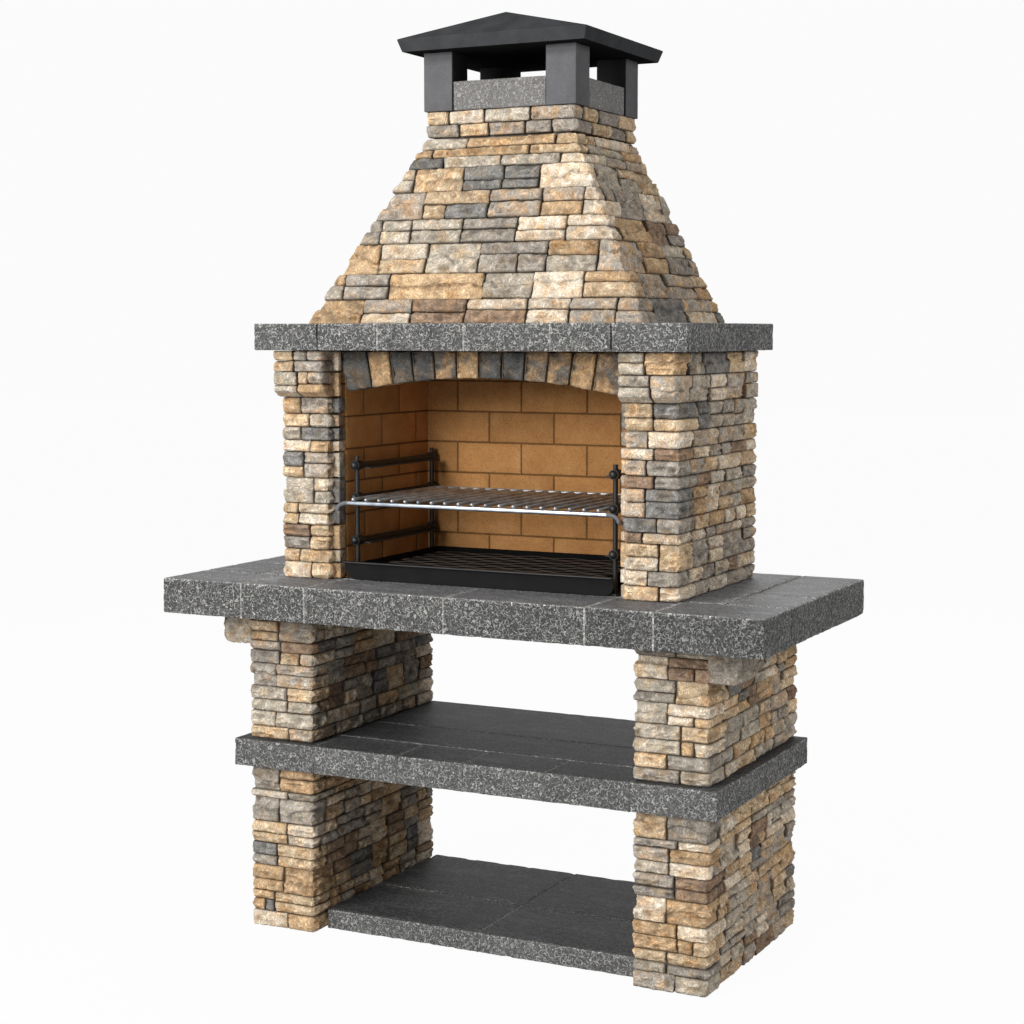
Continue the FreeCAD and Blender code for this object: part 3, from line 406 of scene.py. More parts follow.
class Heap:
    # gathers the arrays of many small shapes into one piece
    def __init__(self):
        self.points, self.faces, self.tones, self.count = [], [], {}, 0

    def add(self, points, faceSets, tones=None):
        self.points.append(points)
        self.faces += [faces + self.count for faces in faceSets]
        for key, colours in (tones or {}).items():
            self.tones.setdefault(key, []).append(colours)
        self.count += len(points)

    def piece(self, name, slotName, nodes, body="masonry", finish=None):
        bySize = {}
        for faces in self.faces:
            bySize.setdefault(faces.shape[1], []).append(faces)
        faceSets = [np.concatenate(group) for group in bySize.values()]
        tones = {key: np.concatenate(parts) for key, parts in self.tones.items()}
        makePiece(name, np.concatenate(self.points), faceSets, slotName, nodes, body, tones, finish=finish)


def gridQuads(columns, rows):
    # faces of a grid whose points are numbered column by column, seen from outside
    first = (np.arange(columns - 1)[:, None] * rows + np.arange(rows - 1)).ravel()
    return np.stack([first, first + rows, first + rows + 1, first + 1], 1)


def rectangle(low, high):
    return [(low[0], low[1]), (high[0], low[1]), (high[0], high[1]), (low[0], high[1])]


def roundedPath(corners, radius, closed=True, steps=6):
    # walks round the corners, left turns outwards: an arc at each corner, straight runs between
    # returns the points, the outward normals and the index of the middle of each arc
    corners = np.asarray(corners, float)
    ahead = np.roll(corners, -1, 0) - corners
    ahead /= np.linalg.norm(ahead, axis=1, keepdims=True)
    facing = np.stack([ahead[:, 1], -ahead[:, 0]], 1)
    points, normals, middles = [], [], []
    for at, corner in enumerate(corners):
        before, after = facing[at - 1], facing[at]
        if not closed and at in (0, len(corners) - 1):
            points.append(corner[None])
            normals.append((after if at == 0 else before)[None])
            continue
        blend = np.linspace(0, 1, steps + 1)[:, None]
        arc = before * (1 - blend) + after * blend
        arc /= np.linalg.norm(arc, axis=1, keepdims=True)
        centre = corner - radius * (before + after) / (1 + before @ after)
        middles.append(sum(map(len, points)) + steps // 2)
        points.append(centre + radius * arc)
        normals.append(arc)
    return np.concatenate(points), np.concatenate(normals), middles


wallRadius = 13  # of a wall's corners


def wallPath(corners, heights, topCorners=None, closed=True):
    # a wall's outer face: its plan at the foot and at the head, with the outward normal at each point of the plan
    foot, normals, middles = roundedPath(corners, wallRadius, closed)
    head = foot if topCorners is None else roundedPath(topCorners, wallRadius, closed)[0]
    lean = ((foot - head) * normals).sum(1) / (heights[1] - heights[0])
    normals = np.column_stack([normals, lean])
    normals /= np.linalg.norm(normals, axis=1, keepdims=True)
    if closed:
        foot, head, normals = (np.concatenate([array, array[:1]]) for array in (foot, head, normals))
    return dict(foot=foot, head=head, normals=normals, middles=middles, heights=heights, closed=closed)


def shareUp(path, z):
    return (z - path["heights"][0]) / (path["heights"][1] - path["heights"][0])


def planAt(path, height):
    # how far along the wall each point of its plan lies, at one height
    share = shareUp(path, height)
    plan = path["foot"] * (1 - share) + path["head"] * share
    run = np.linalg.norm(np.diff(plan, axis=0), axis=1)
    return np.concatenate([[0], np.cumsum(run)])


# Tones of the split stone: (share, main tone, tone of its clouds)
stoneTones = dict(
    cream=(0.16, "#dccfbd", "#cdb395"),
    sand=(0.18, "#d0ba9c", "#b89a79"),
    honey=(0.10, "#c5a885", "#a48a6c"),
    ashBeige=(0.20, "#c0b5a5", "#9e9587"),
    warmGrey=(0.16, "#a9a095", "#888077"),
    slate=(0.05, "#878480", "#6d6b67"),
    brown=(0.05, "#9d8570", "#7d6a5a"),
    greyOnSand=(0.10, "#aaa196", "#c8a987"),
)
toneShares = np.array([share for share, *_ in stoneTones.values()])
tonePairs = np.array([[linear(first), linear(second)] for _, first, second in stoneTones.values()])

# How the stones are laid and broken
ledge = dict(
    joint=2.8, bed=0.9, rounding=(3.4, 6.0), ragged=0.3, margin=10, skirt=24, wobble=0.8,
    width=(62, 122), longReach=(84, 124), shortReach=(64, 96), least=40,
    doubleFrom=42, pairShare=0.72, sameShare=0.5, cutFrom=112, cutShare=0.25,
    countSpread=(0.8, 1.2), rowCut=(0.42, 0.60), stoneCut=(0.34, 0.66), toneSpread=(0.90, 1.10),
    facets=4, facetLift=(0.4, 4.2), tiltAcross=2.0, tiltUp=2.6, step=(5.0, 9.0),
    hew=5.8, chisel=3.3, crest=0.42, column=5.8, row=4.0, sit=7.0, proud=1.0, deepest=-12.5, backSet=0, tint=1.0,
)
# Their relief: sizes of its noises, the line and slope of a broken ledge, what dressed edges and corners keep of it,
# and how far the painted shade reaches from a joint or a ledge
relief = dict(
    ragged=13, line=30, lineNick=8, flake=(26, 15), nick=(11, 7), wanderAlong=37, wanderUp=31, level=1.5,
    bendShare=0.3, lineSway=0.2, nickDeep=3.2, ledgeSlope=2.5, dressed=0.35, cornerDressed=0.3, cornerFlat=0.4,
    sideShade=4.8, bedShade=3.2, ledgeShade=3.5, darkest=0.15,
)
gridLimits = dict(across=(45, 4), up=(24, 3))  # most grid lines on a stone, and their multiple
edgeMarks = np.array([0, 0.3, 1.0])  # grid lines across a stone's rounded edge
cornerMarks = np.array([[-2.6, 0, 2.6]])  # and about a corner that it turns
cornerGather = 0.02  # round a corner a skirt shrinks to this share of its length
hipZone = 40  # within this of a hip the stones are squeezed along with it


def cutRun(start, end, look, rng):
    # cuts a run into stones of random widths that fill it exactly
    count = max(1, round((end - start) / rng.uniform(*look["countSpread"]) / np.mean(look["width"])))
    widths = rng.uniform(*look["width"], count)
    marks = start + np.concatenate([[0], np.cumsum(widths)]) * (end - start) / widths.sum()
    return list(zip(marks[:-1], marks[1:], [np.nan] * count))


def layCourse(path, low, high, number, look, rng):
    # one course: stones that turn each corner, long and short side in turn, then the runs between them
    along = planAt(path, (low + high) / 2)
    total = along[-1]
    corners = along[path["middles"]]
    reaches = []
    for _ in corners:
        pair = [rng.uniform(*look["longReach"]), rng.uniform(*look["shortReach"])]
        reaches.append(pair if number % 2 else pair[::-1])
    starts = [corner - reach[0] for corner, reach in zip(corners, reaches)]
    ends = [corner + reach[1] for corner, reach in zip(corners, reaches)]
    pairs = [(at, at + 1) for at in range(len(corners) - 1)]
    if path["closed"]:
        pairs.append((len(corners) - 1, 0))
    runs = []
    for one, two in pairs:
        lap = total if two == 0 else 0
        if starts[two] + lap - ends[one] < look["least"]:  # too narrow for a stone: the corner stones meet
            meet = (starts[two] + lap + ends[one]) / 2
            ends[one], starts[two] = meet, meet - lap
        else:
            runs += cutRun(ends[one], starts[two] + lap, look, rng)
    if not path["closed"]:
        for limit, edge, which in ((0, starts, 0), (total, ends, -1)):
            if abs(edge[which] - limit) < look["least"]:
                edge[which] = limit
            else:
                runs += cutRun(*sorted((limit, edge[which])), look, rng)
    return runs + list(zip(starts, ends, corners))


def splitRows(blocks, low, high, look, rng):
    # a high course is partly whole stones with a broken ledge and partly two rows, and wide rows are cut once more
    stones = []

    def pick():
        return rng.choice(len(toneShares), p=toneShares / toneShares.sum())

    def stone(left, right, base, top, corner, tone, step):
        inside = left < corner < right
        stones.append((left, right, base, top, corner if inside else np.nan, tone, step))

    for left, right, corner in blocks:
        tone = pick()
        double = high - low >= look["doubleFrom"]
        paired = rng.random() < look["pairShare"] or right - left < high - low
        if not double or not paired:
            step = rng.uniform(*look["step"]) * rng.choice([-1, 1]) if double else 0
            stone(left, right, low, high, corner, tone, step)
            continue
        middle = low + (high - low) * rng.uniform(*look["rowCut"])
        for base, top in ((low, middle), (middle, high)):
            if rng.random() > look["sameShare"]:
                tone = pick()
            if right - left > look["cutFrom"] and rng.random() < look["cutShare"]:
                cut = left + (right - left) * rng.uniform(*look["stoneCut"])
                if abs(cut - corner) < look["least"]:
                    cut = corner + look["least"] * (1 if rng.random() < 0.5 else -1)
                second = pick()
                if left + look["least"] / 2 < cut < right - look["least"] / 2:
                    stone(left, cut, base, top, corner, tone, 0)
                    stone(cut, right, base, top, corner, second, 0)
                    continue
            stone(left, right, base, top, corner, tone, 0)
    return stones


def ridged(points, size, seed):
    # sharp crests between shallow hollows, as a chisel leaves them: one minus the noise's distance from zero
    return 1 - 2 * np.abs(grain(points, np.array([*size, 1.0]), seed))


def upright(path, course, s, z):
    # keeps the joints of a leaning wall plumb: away from the hips a point holds its distance from the face's middle
    if not path["closed"]:
        return s
    along = planAt(path, sum(course) / 2)
    total = along[-1]
    s = s % total
    corners = along[path["middles"]]
    face = np.searchsorted(corners, s, side="right") - 1
    left = corners[face] - np.where(face < 0, total, 0)
    right = corners[(face + 1) % len(corners)] + np.where(face == len(corners) - 1, total, 0)
    lengths = []
    for height in path["heights"]:
        marks = planAt(path, height)
        middles = marks[path["middles"]]
        lengths.append(np.diff(np.append(middles, middles[0] + marks[-1]))[face])
    share = shareUp(path, z)
    half, halfHere = (right - left) / 2, (lengths[0] * (1 - share) + lengths[1] * share) / 2
    offset = s - (left + right) / 2
    near = np.clip((np.abs(offset) - half) / hipZone + 1, 0, 1)
    offset = offset + np.sign(offset) * (halfHere - half) * near
    return (left + (offset + halfHere) / (2 * halfHere) * (right - left)) % total


def gridCount(length, step, most, multiple):
    # lines across a stone, in multiples, so that many stones share one grid
    return int(np.clip(round(length / step), 4, most) // multiple * multiple + multiple)


def gridMarks(start, end, bend, count):
    # lines across a stone: close together in its rounded edges, even between
    ends = np.concatenate([edgeMarks, -edgeMarks[::-1]])
    outer = np.where(np.arange(len(ends)) < len(edgeMarks), start, end) + ends * bend
    inner = start + bend + (end - start - 2 * bend) * np.linspace(0, 1, count)[1:-1]
    return np.sort(np.concatenate([outer, inner], 1), 1)


def hewFaces(table, across, up, turned, course, look, rng, seed):
    # stones that share a grid: a rounded outline, chipped facets (the lowest of a few tilted planes), a broken ledge
    # in some, rough relief, and a skirt that runs back into the wall
    # returns the place along the wall, height, depth, painted shade from joints and ledges, and painted light of the
    # relief for each grid point
    count = len(table)
    left, right, low, high, corner = (table[:, at, None, None] for at in range(5))
    gap, bed = look["joint"] / 2, look["bed"] / 2
    left, right, low, high = left + gap, right - gap, low + bed, high - bed
    wide, tall = right - left, high - low
    bend = np.minimum(rng.uniform(*look["rounding"], (count, 1, 1)), np.minimum(wide, tall) * relief["bendShare"])
    columns = gridMarks(left[:, :, 0], right[:, :, 0], bend[:, :, 0], across)
    if turned:
        columns = np.sort(np.concatenate([columns, corner[:, :, 0] + cornerMarks], 1), 1)
    rows = gridMarks(low[:, :, 0], high[:, :, 0], bend[:, :, 0], up)
    s, z = np.broadcast_arrays(columns[:, :, None], rows[:, None, :])
    toSide, toBed = np.minimum(s - left, right - s), np.minimum(z - low, high - z)
    overSide, overBed = np.maximum(bend - toSide, 0), np.maximum(bend - toBed, 0)
    over = np.hypot(overSide, overBed)
    pull = np.where(over > bend, bend / np.maximum(over, 1e-6), 1)
    spot = np.stack([s, z, np.broadcast_to(rng.uniform(0, 9000, (count, 1, 1)), s.shape)], -1)
    worn = np.minimum(over * pull * (1 + look["ragged"] * grain(spot, relief["ragged"], seed + 6)), bend)
    drop = bend - np.sqrt(bend ** 2 - worn ** 2)
    middle, level = (left + right) / 2, (low + high) / 2
    s = s + np.where(s < middle, 1, -1) * overSide * (1 - pull)
    z = z + np.where(z < level, 1, -1) * overBed * (1 - pull)
    planes = (count, 1, 1, look["facets"])
    lift = rng.uniform(*look["facetLift"], planes)
    slopeS = rng.normal(0, 1, planes) * (look["tiltAcross"] / (wide / 2))[..., None]
    slopeZ = rng.normal(0, 1, planes) * (look["tiltUp"] / (tall / 2))[..., None]
    facet = (lift + slopeS * (s - middle)[..., None] + slopeZ * (z - level)[..., None]).min(-1)
    # the broken ledge: a ragged line across the stone, one side of it set back
    step = table[:, 6, None, None]
    ragged = spot * (1, 0, 1)
    line = level + tall * relief["lineSway"] * grain(ragged, relief["line"], seed)
    fromLine = z - line - relief["nickDeep"] * grain(ragged, relief["lineNick"], seed + 5)
    facet = facet - np.abs(step) * np.clip(fromLine * np.sign(step) / relief["ledgeSlope"] + 0.5, 0, 1)
    flakes, nicks = ridged(spot, relief["flake"], seed + 1), ridged(spot, relief["nick"], seed + 2)
    # the edges were dressed straight, the face between them was left rough
    inFace = np.clip(np.minimum(toSide, toBed) / look["margin"], 0, 1)
    face = relief["dressed"] + (1 - relief["dressed"]) * inFace
    if turned:  # and so was the corner
        offCorner = np.clip(np.abs(s - corner) / look["margin"] - relief["cornerFlat"], 0, 1)
        face = np.minimum(face, relief["cornerDressed"] + (1 - relief["cornerDressed"]) * offCorner)
    rough = (look["hew"] * flakes + look["chisel"] * nicks - relief["level"]) * face
    out = np.clip(facet + rough - drop - look["sit"] + relief["level"], look["deepest"], look["proud"])
    # painted light and shade: the crests of the relief are painted paler and its hollows darker, as light would fall on
    # them
    light = 1 + look["crest"] * (0.7 * flakes + 0.3 * nicks - 0.3)  # crests are paler than hollows
    # the joints wander a little, the same on both sides of a joint
    flat = np.stack([s, z, np.full(s.shape, 7.0)], -1)
    inCourse = np.clip(np.minimum(z - course[0], course[1] - z) / 6, 0.25, 1)
    s = s + look["wobble"] * grain(flat, relief["wanderAlong"], seed + 3)
    z = z + look["wobble"] * grain(flat, relief["wanderUp"], seed + 4) * inCourse
    # painted shade along the joints and along the broken ledge, darkest right at the joint
    edge = np.clip(np.minimum(toSide / relief["sideShade"], toBed / relief["bedShade"]), 0, 1)
    offLedge = np.clip(np.abs(fromLine + np.sign(step)) / relief["ledgeShade"], 0, 1)
    ledgeShade = offLedge * (1 - relief["darkest"]) + relief["darkest"]
    edge = np.where(step == 0, edge, np.minimum(edge, ledgeShade))
    around = ((0, 0), (1, 1), (1, 1))
    s, z, out, edge, light = (np.pad(array, around, mode="edge") for array in (s, z, out, edge, light))
    out[:, [0, -1]], out[:, :, [0, -1]] = -look["skirt"], -look["skirt"]
    edge[:, [0, -1]], edge[:, :, [0, -1]] = 0, 0
    if turned:  # round a corner the skirt gathers on the inner corner, so that it stays inside both faces
        for rim in (0, -1):
            fromCorner = s[:, :, rim] - corner[:, :, 0]
            inside = np.abs(fromCorner) < look["skirt"]
            s[:, :, rim] = np.where(inside, corner[:, :, 0] + fromCorner * cornerGather, s[:, :, rim])
            out[:, :, rim] = np.where(inside, -look["skirt"] * math.sqrt(2), out[:, :, rim])
    return s, z, out, edge, light


def carve(path, course, stones, look, rng, seed):
    # hews the stones of a course, all those of one grid size together, and sets them on the wall's face
    along = planAt(path, sum(course) / 2)
    index = np.arange(len(along))
    groups = {}
    for stone in stones:
        across = gridCount(stone[1] - stone[0], look["column"], *gridLimits["across"])
        up = gridCount(stone[3] - stone[2], look["row"], *gridLimits["up"])
        groups.setdefault((across, up, bool(np.isfinite(stone[4]))), []).append(stone)
    results = []
    for (across, up, turned), members in sorted(groups.items()):
        table = np.array(members)
        count = len(table)
        s, z, out, edge, light = hewFaces(table, across, up, turned, course, look, rng, seed)
        place = np.interp(upright(path, course, s, z), along, index)
        share = shareUp(path, z)
        normal = np.stack([np.interp(place, index, path["normals"][:, at]) for at in range(3)], -1)
        normal /= np.linalg.norm(normal, axis=-1, keepdims=True)
        plan = [np.interp(place, index, path["foot"][:, at]) * (1 - share)
                + np.interp(place, index, path["head"][:, at]) * share for at in range(2)]
        out = out - look["backSet"] * np.clip(normal[..., 1], 0, 1)
        points = np.stack([*plan, z], -1) + normal * out[..., None]
        wide, tall = s.shape[1:]
        cells = np.arange(wide * tall).reshape(wide, tall)
        ring = np.concatenate([cells[:-1, 0], cells[-1, :-1], cells[:0:-1, -1], cells[0, :0:-1]])
        starts = np.arange(count)[:, None, None] * wide * tall
        faces = [(gridQuads(wide, tall) + starts).reshape(-1, 4), (ring[::-1] + starts[:, 0]).reshape(count, -1)]
        tone = tonePairs[table[:, 5].astype(int)] * rng.uniform(*look["toneSpread"], (count, 1, 1)) * look["tint"]
        one, two = (tone[:, at, None, None] * light[..., None] for at in range(2))
        own = np.broadcast_to(rng.uniform(0, 1, (count, 1, 1, 1)), (*s.shape, 1))
        # toneA carries the painted light of the relief in its colour and the painted shade of joints and ledges in its
        # alpha
        tones = dict(toneA=np.concatenate([one, edge[..., None]], -1), toneB=np.concatenate([two, own], -1))
        results.append((points, faces, tones))
    return results


def buildWall(path, levels, look, seed):
    # all the courses of a wall: a list of (points, faces, tones) for each group of stones
    rng = np.random.default_rng(seed)
    built = []
    for number, course in enumerate(zip(levels[:-1], levels[1:])):
        blocks = layCourse(path, *course, number, look, rng)
        stones = splitRows(blocks, *course, look, rng)
        built += carve(path, course, stones, look, rng, seed * 31 + number)
    return built


def sortStones(built, chooser, heaps):
    # puts each stone of a wall into one of several heaps: chooser gives the heap's name from the stone's middle
    for points, faces, tones in built:
        count, wide, tall = points.shape[:3]
        middles = points[:, 1:-1, 1:-1].mean((1, 2))
        names = np.array([chooser(middle) for middle in middles])
        quads = faces[0].reshape(count, -1, 4)
        for name in np.unique(names):
            picked = np.flatnonzero(names == name)
            shift = (np.arange(len(picked)) - picked) * wide * tall
            sets = [(quads[picked] + shift[:, None, None]).reshape(-1, 4), faces[1][picked] + shift[:, None]]
            flat = {key: array[picked].reshape(-1, 4) for key, array in tones.items()}
            heaps.setdefault(str(name), Heap()).add(points[picked].reshape(-1, 3), sets, flat)
    return heaps


def wholeWall(built):
    return sortStones(built, lambda middle: "all", {})["all"]


def sideMarks(low, high, bend, step):
    # marks along one side of a block: close together in the rounded ends, even between
    near = np.array([0, 0.586, 1.0]) * bend
    count = max(2, round((high - low - 2 * bend) / step) + 1)
    return np.concatenate([low + near[:2], np.linspace(low + bend, high - bend, count), high - near[1::-1]])


def blockGrid(low, high, bend, steps):
    # six grids over a block's faces, welded where they meet
    marks = [sideMarks(low[at], high[at], bend, steps[at]) for at in range(3)]
    points, quads, count = [], [], 0
    for axis in range(3):
        one, two = (axis + 1) % 3, (axis + 2) % 3
        for side in (0, -1):
            grid = np.empty((len(marks[one]), len(marks[two]), 3))
            grid[..., axis] = marks[axis][side]
            grid[..., one] = marks[one][:, None]
            grid[..., two] = marks[two]
            faces = gridQuads(*grid.shape[:2])
            points.append(grid.reshape(-1, 3))
            quads.append((faces if side else faces[:, ::-1]) + count)
            count += points[-1].shape[0]
    points, index = np.unique(np.round(np.concatenate(points), 4), axis=0, return_inverse=True)
    return points, index.ravel()[np.concatenate(quads)]


# Hewn blocks: sizes and shares of the hammer's relief, how flat a honed top is, the painted light on its crags and
# hollows, and how far from an arris chips, paler wear with a painted highlight, and a joint's painted shade reach
hammer = dict(pit=9, pitShare=0.7, wave=46, waveShare=0.5, crag=22, fineCrag=10, fineShare=0.45, crest=1.16, hollow=0.5,
              topFlat=0.85, topFrom=0.6, topFade=0.3, chipFrom=0.15, chipZone=9, wearZone=4, seamZone=5)
pairSpread = (0.88, 1.1)
dullBlock = dict(honed=False, shade=(1, 1), arris=0, topShade=1.0, crag=0, open=1)


def hewBlock(low, high, look, rng):
    # a box grid drawn onto a rounded box, then sunk along its normals by hammer relief and by chips near its edges
    bend = look["bend"]
    points, quads = blockGrid(low, high, bend, look["steps"])
    core = np.clip(points, low + bend, high - bend)
    lean = points - core
    normal = lean / np.linalg.norm(lean, axis=1, keepdims=True)
    spot = points + rng.uniform(0, 5000, 3)
    toEdge = np.sort(np.minimum(points - low, high - points), axis=1)[:, 1]
    nearEdge = np.clip(1 - toEdge / hammer["chipZone"], 0, 1)
    facingUp = np.clip((normal[:, 2] - hammer["topFrom"]) / hammer["topFade"], 0, 1)
    top = facingUp if look["honed"] else np.zeros(len(points))
    pitted = 0.5 + 0.5 * grain(spot, hammer["pit"], 1)
    broad = 0.5 + 0.5 * grain(spot, hammer["wave"], 2)
    chips = np.clip(grain(spot, look["chipSize"], 3) - hammer["chipFrom"], 0, 1) * nearEdge
    crag = np.abs(grain(spot, hammer["crag"], 4)) + hammer["fineShare"] * np.abs(grain(spot, hammer["fineCrag"], 5))
    struck = hammer["pitShare"] * pitted + hammer["waveShare"] * broad
    sunk = look["relief"] * struck * (1 - hammer["topFlat"] * top) + look["chip"] * chips
    sunk = sunk + look["crag"] * crag * (np.abs(normal) * look["open"]).sum(1)
    points = core + normal * (bend - sunk)[:, None]
    # painted light and shade: each block's random tone is lifted along its arris (wear and a painted highlight), its
    # top painted lighter or darker by topShade as light or shade falls there, and its crags painted darker in the
    # hollows
    shade = rng.uniform(*look["shade"]) * (1 + look["arris"] * np.clip(1 - toEdge / hammer["wearZone"], 0, 1))
    shade = shade * (1 - (1 - look["topShade"]) * top)
    if look["crag"]:
        shade = shade * (hammer["crest"] - hammer["hollow"] * crag)
    # the alpha is the honed top away from the edges on honed blocks; on the others it is the painted shade along the
    # joints
    fromSeam = np.clip(toEdge / hammer["seamZone"], 0, 1)
    alpha = top * (1 - np.clip(nearEdge * 1.2, 0, 1)) if look["honed"] else fromSeam
    return points, [quads], np.column_stack([shade, shade, shade, alpha])


def stonePair(colours, tone, rng):
    # two tones for one hewn stone, carrying its painted light and shade (paler arris, darker hollows), and a random
    # shift of its pattern
    pair = [linear(colour) * rng.uniform(*pairSpread) * tone[:, :1] for colour in colours]
    own = np.full((len(tone), 1), rng.uniform())
    return dict(toneA=np.column_stack([pair[0], tone[:, 3]]), toneB=np.column_stack([pair[1], own]))


mortarBed = dict(behind=14, tone="#6b645a", edge=0.4, bend=1, steps=(500, 500, 500))


def mortarCore(heap, low, high):
    # mortar behind the stones closes their joints; its alpha of 0.4 darkens it with the stones' painted joint shade
    points, quads = blockGrid(low, high, mortarBed["bend"], mortarBed["steps"])
    tone = np.tile([*linear(mortarBed["tone"]), mortarBed["edge"]], (len(points), 1))
    heap.add(points, [quads], dict(toneA=tone, toneB=tone))


# Legs: double courses of about 55 mm with thin ones between
legCourses = dict(
    lower=[0, 41, 93, 160, 218, 274, 336, 355, 418],
    upper_left=[488, 520, 558, 622, 681, 738, 789, 812],
    upper_right=[488, 520, 554, 623, 673, 726, 779, 812],
)
legSeeds = dict(left_lower=11, right_lower=12, left_upper=13, right_upper=17)
legLook = dict(ledge, backSet=3.6)
legBack = 0.2  # the stones stay this far inside the back, which is the object's own limit
for leg, seed in legSeeds.items():
    side, storey = leg.split("_")
    low, high = boxOf(f"{leg}_leg_stone")
    levels = legCourses.get(storey) or legCourses[f"{storey}_{side}"]
    path = wallPath(rectangle(low, high), (low[2], high[2]))
    heap = wholeWall(buildWall(path, levels, legLook, seed))
    for points in heap.points:
        points[:, 1] = np.minimum(points[:, 1], high[1] - legBack)
    inset = (mortarBed["behind"], mortarBed["behind"], 1)
    mortarCore(heap, low + inset, high - inset)
    heap.piece(f"{leg}_leg_ledge_stones", "split_stone", [f"{leg}_leg_stone"])
print("legs done")

# Firebox: the right cheek and the back share their courses, the left cheek has its own
cheekCourses = dict(
    right=[900, 934, 969, 1031, 1056, 1090, 1157, 1186, 1222, 1249, 1288, 1352],
    left=[900, 941, 973, 1035, 1088, 1152, 1216, 1245, 1278, 1311, 1352],
)
cheekLap = 4  # the left cheek's end stones reach this far past the seam with the back
impostCourses = [1352, 1415, 1467]
impostLook = dict(ledge, skirt=54, width=(70, 150), pairShare=0.6, sit=3.0)
impostSlope = dict(tall=14, deep=40)
returnLook = dict(dullBlock, bend=3.5, steps=(5, 5, 4), relief=1.0, chip=3.0, chipSize=13, crag=2.5)
returnCut = dict(front=-203, gap=0.5, bed=0.6)
sortReach = dict(back=20, impost=35)  # how far past the node's own box the middle of its stones may lie


def cheekPath(side, front, heights):
    stone, back, impost = boxOf(f"{side}_cheek_stone"), boxOf("back_stone"), boxOf(f"{side}_impost")
    seat = boxOf(f"{side}_firebricks")[0][1]
    if side == "right":
        inner, outer = impost[0][0], stone[1][0]
        corners = [(inner, seat), (inner, front), (outer, front), (outer, back[1][1]),
                   (back[0][0], back[1][1]), (back[0][0], back[0][1])]
    else:
        inner, outer = impost[1][0], stone[0][0]
        corners = [(outer, back[0][1] + cheekLap), (outer, front), (inner, front), (inner, seat)]
    return wallPath(corners, heights, closed=False)


heaps = {}
leaf = boxOf("back_stone")[0][1]
for side, seed in (("right", 31), ("left", 33)):
    impostLow, impostHigh = boxOf(f"{side}_impost")
    cheekFront = boxOf(f"{side}_cheek_stone")[0][1]
    for front, levels, look, shift in ((cheekFront, cheekCourses[side], ledge, 0),
                                       (impostLow[1], impostCourses, impostLook, 1)):
        path = cheekPath(side, front, (levels[0], levels[-1]))

        def whose(middle):
            if middle[1] > leaf - sortReach["back"]:
                return "back"
            if shift and middle[1] < impostHigh[1] + sortReach["impost"]:
                return f"{side}_impost"
            return f"{side}_cheek"

        sortStones(buildWall(path, levels, look, seed + shift), whose, heaps)
rng = np.random.default_rng(35)
for name, heap in heaps.items():
    node = name if name.endswith("impost") else f"{name}_stone"
    low, high = boxOf(node)
    if name == "back":
        behind = mortarBed["behind"]
        mortarCore(heap, low + (behind, 0, 1), high - (behind, behind, 1))
    else:
        side, part = name.split("_")
        x, y, z = sidesOf(f"{side}_firebricks")
        levels, returnBack = cheekCourses[side], y[0]
        if part == "impost":  # the lower bed slopes back to the cheek's face
            levels, returnBack = impostCourses, boxOf("arch_stones")[0][1]
            cheekFront = boxOf(f"{side}_cheek_stone")[0][1]
            for points in heap.points:
                under = np.clip(low[2] + impostSlope["tall"] - points[:, 2], 0, impostSlope["tall"])
                proud = np.clip(cheekFront - points[:, 1], 0, impostSlope["deep"])
                points[:, 1] += under / impostSlope["tall"] * proud
        # stones that turn in and cover the front ends of the firebricks
        for base, top in zip(levels[:-1], levels[1:]):
            block = cornersOf(x, (returnCut["front"], returnBack - returnCut["gap"]),
                              (base + returnCut["bed"], top - returnCut["bed"]))
            points, faces, tone = hewBlock(*block, returnLook, rng)
            colours = list(stoneTones.values())[rng.integers(len(stoneTones))][1:]
            heap.add(points, faces, stonePair(colours, tone, rng))
    heap.piece(f"{name}_ledge_stones", "split_stone", [node])
print("firebox stone done")

# Hood: long thin strips on four leaning faces, wrapped over the hips, and the neck above
hoodCourses = [1533, 1594, 1655, 1728, 1787, 1855, 1912, 1938, 1960, 1986]
hoodLook = dict(ledge, width=(96, 215), longReach=(84, 140), shortReach=(40, 64), cutFrom=150, pairShare=0.66,
                tint=0.92)
neckLook = dict(hoodLook, width=(60, 120))
neckCourse = 30
low, high = boxOf("hood_front_stone")
backHigh = boxOf("hood_back_stone")[1]
neckLow, neckHigh = boxOf("neck_stone")
neckPlan = rectangle(neckLow, neckHigh)
path = wallPath(rectangle(low, (high[0], backHigh[1])), (low[2], high[2]), neckPlan)


def hoodFace(middle):
    # the face whose plane the stone's middle lies nearest to
    share = shareUp(path, middle[2])
    half = high[0] + (neckHigh[0] - high[0]) * share
    front = low[1] + (neckLow[1] - low[1]) * share
    gaps = dict(front=middle[1] - front, back=backHigh[1] - middle[1], right=half - middle[0], left=half + middle[0])
    return min(gaps, key=gaps.get)


for name, heap in sortStones(buildWall(path, hoodCourses, hoodLook, 41), hoodFace, {}).items():
    heap.piece(f"hood_{name}_ledge_stones", "split_stone", [f"hood_{name}_stone"])
path = wallPath(neckPlan, (neckLow[2], neckHigh[2]))
neckLevels = [neckLow[2], neckLow[2] + neckCourse, neckHigh[2]]
wholeWall(buildWall(path, neckLevels, neckLook, 44)).piece("neck_ledge_stones", "split_stone", ["neck_stone"])
print("hood done")

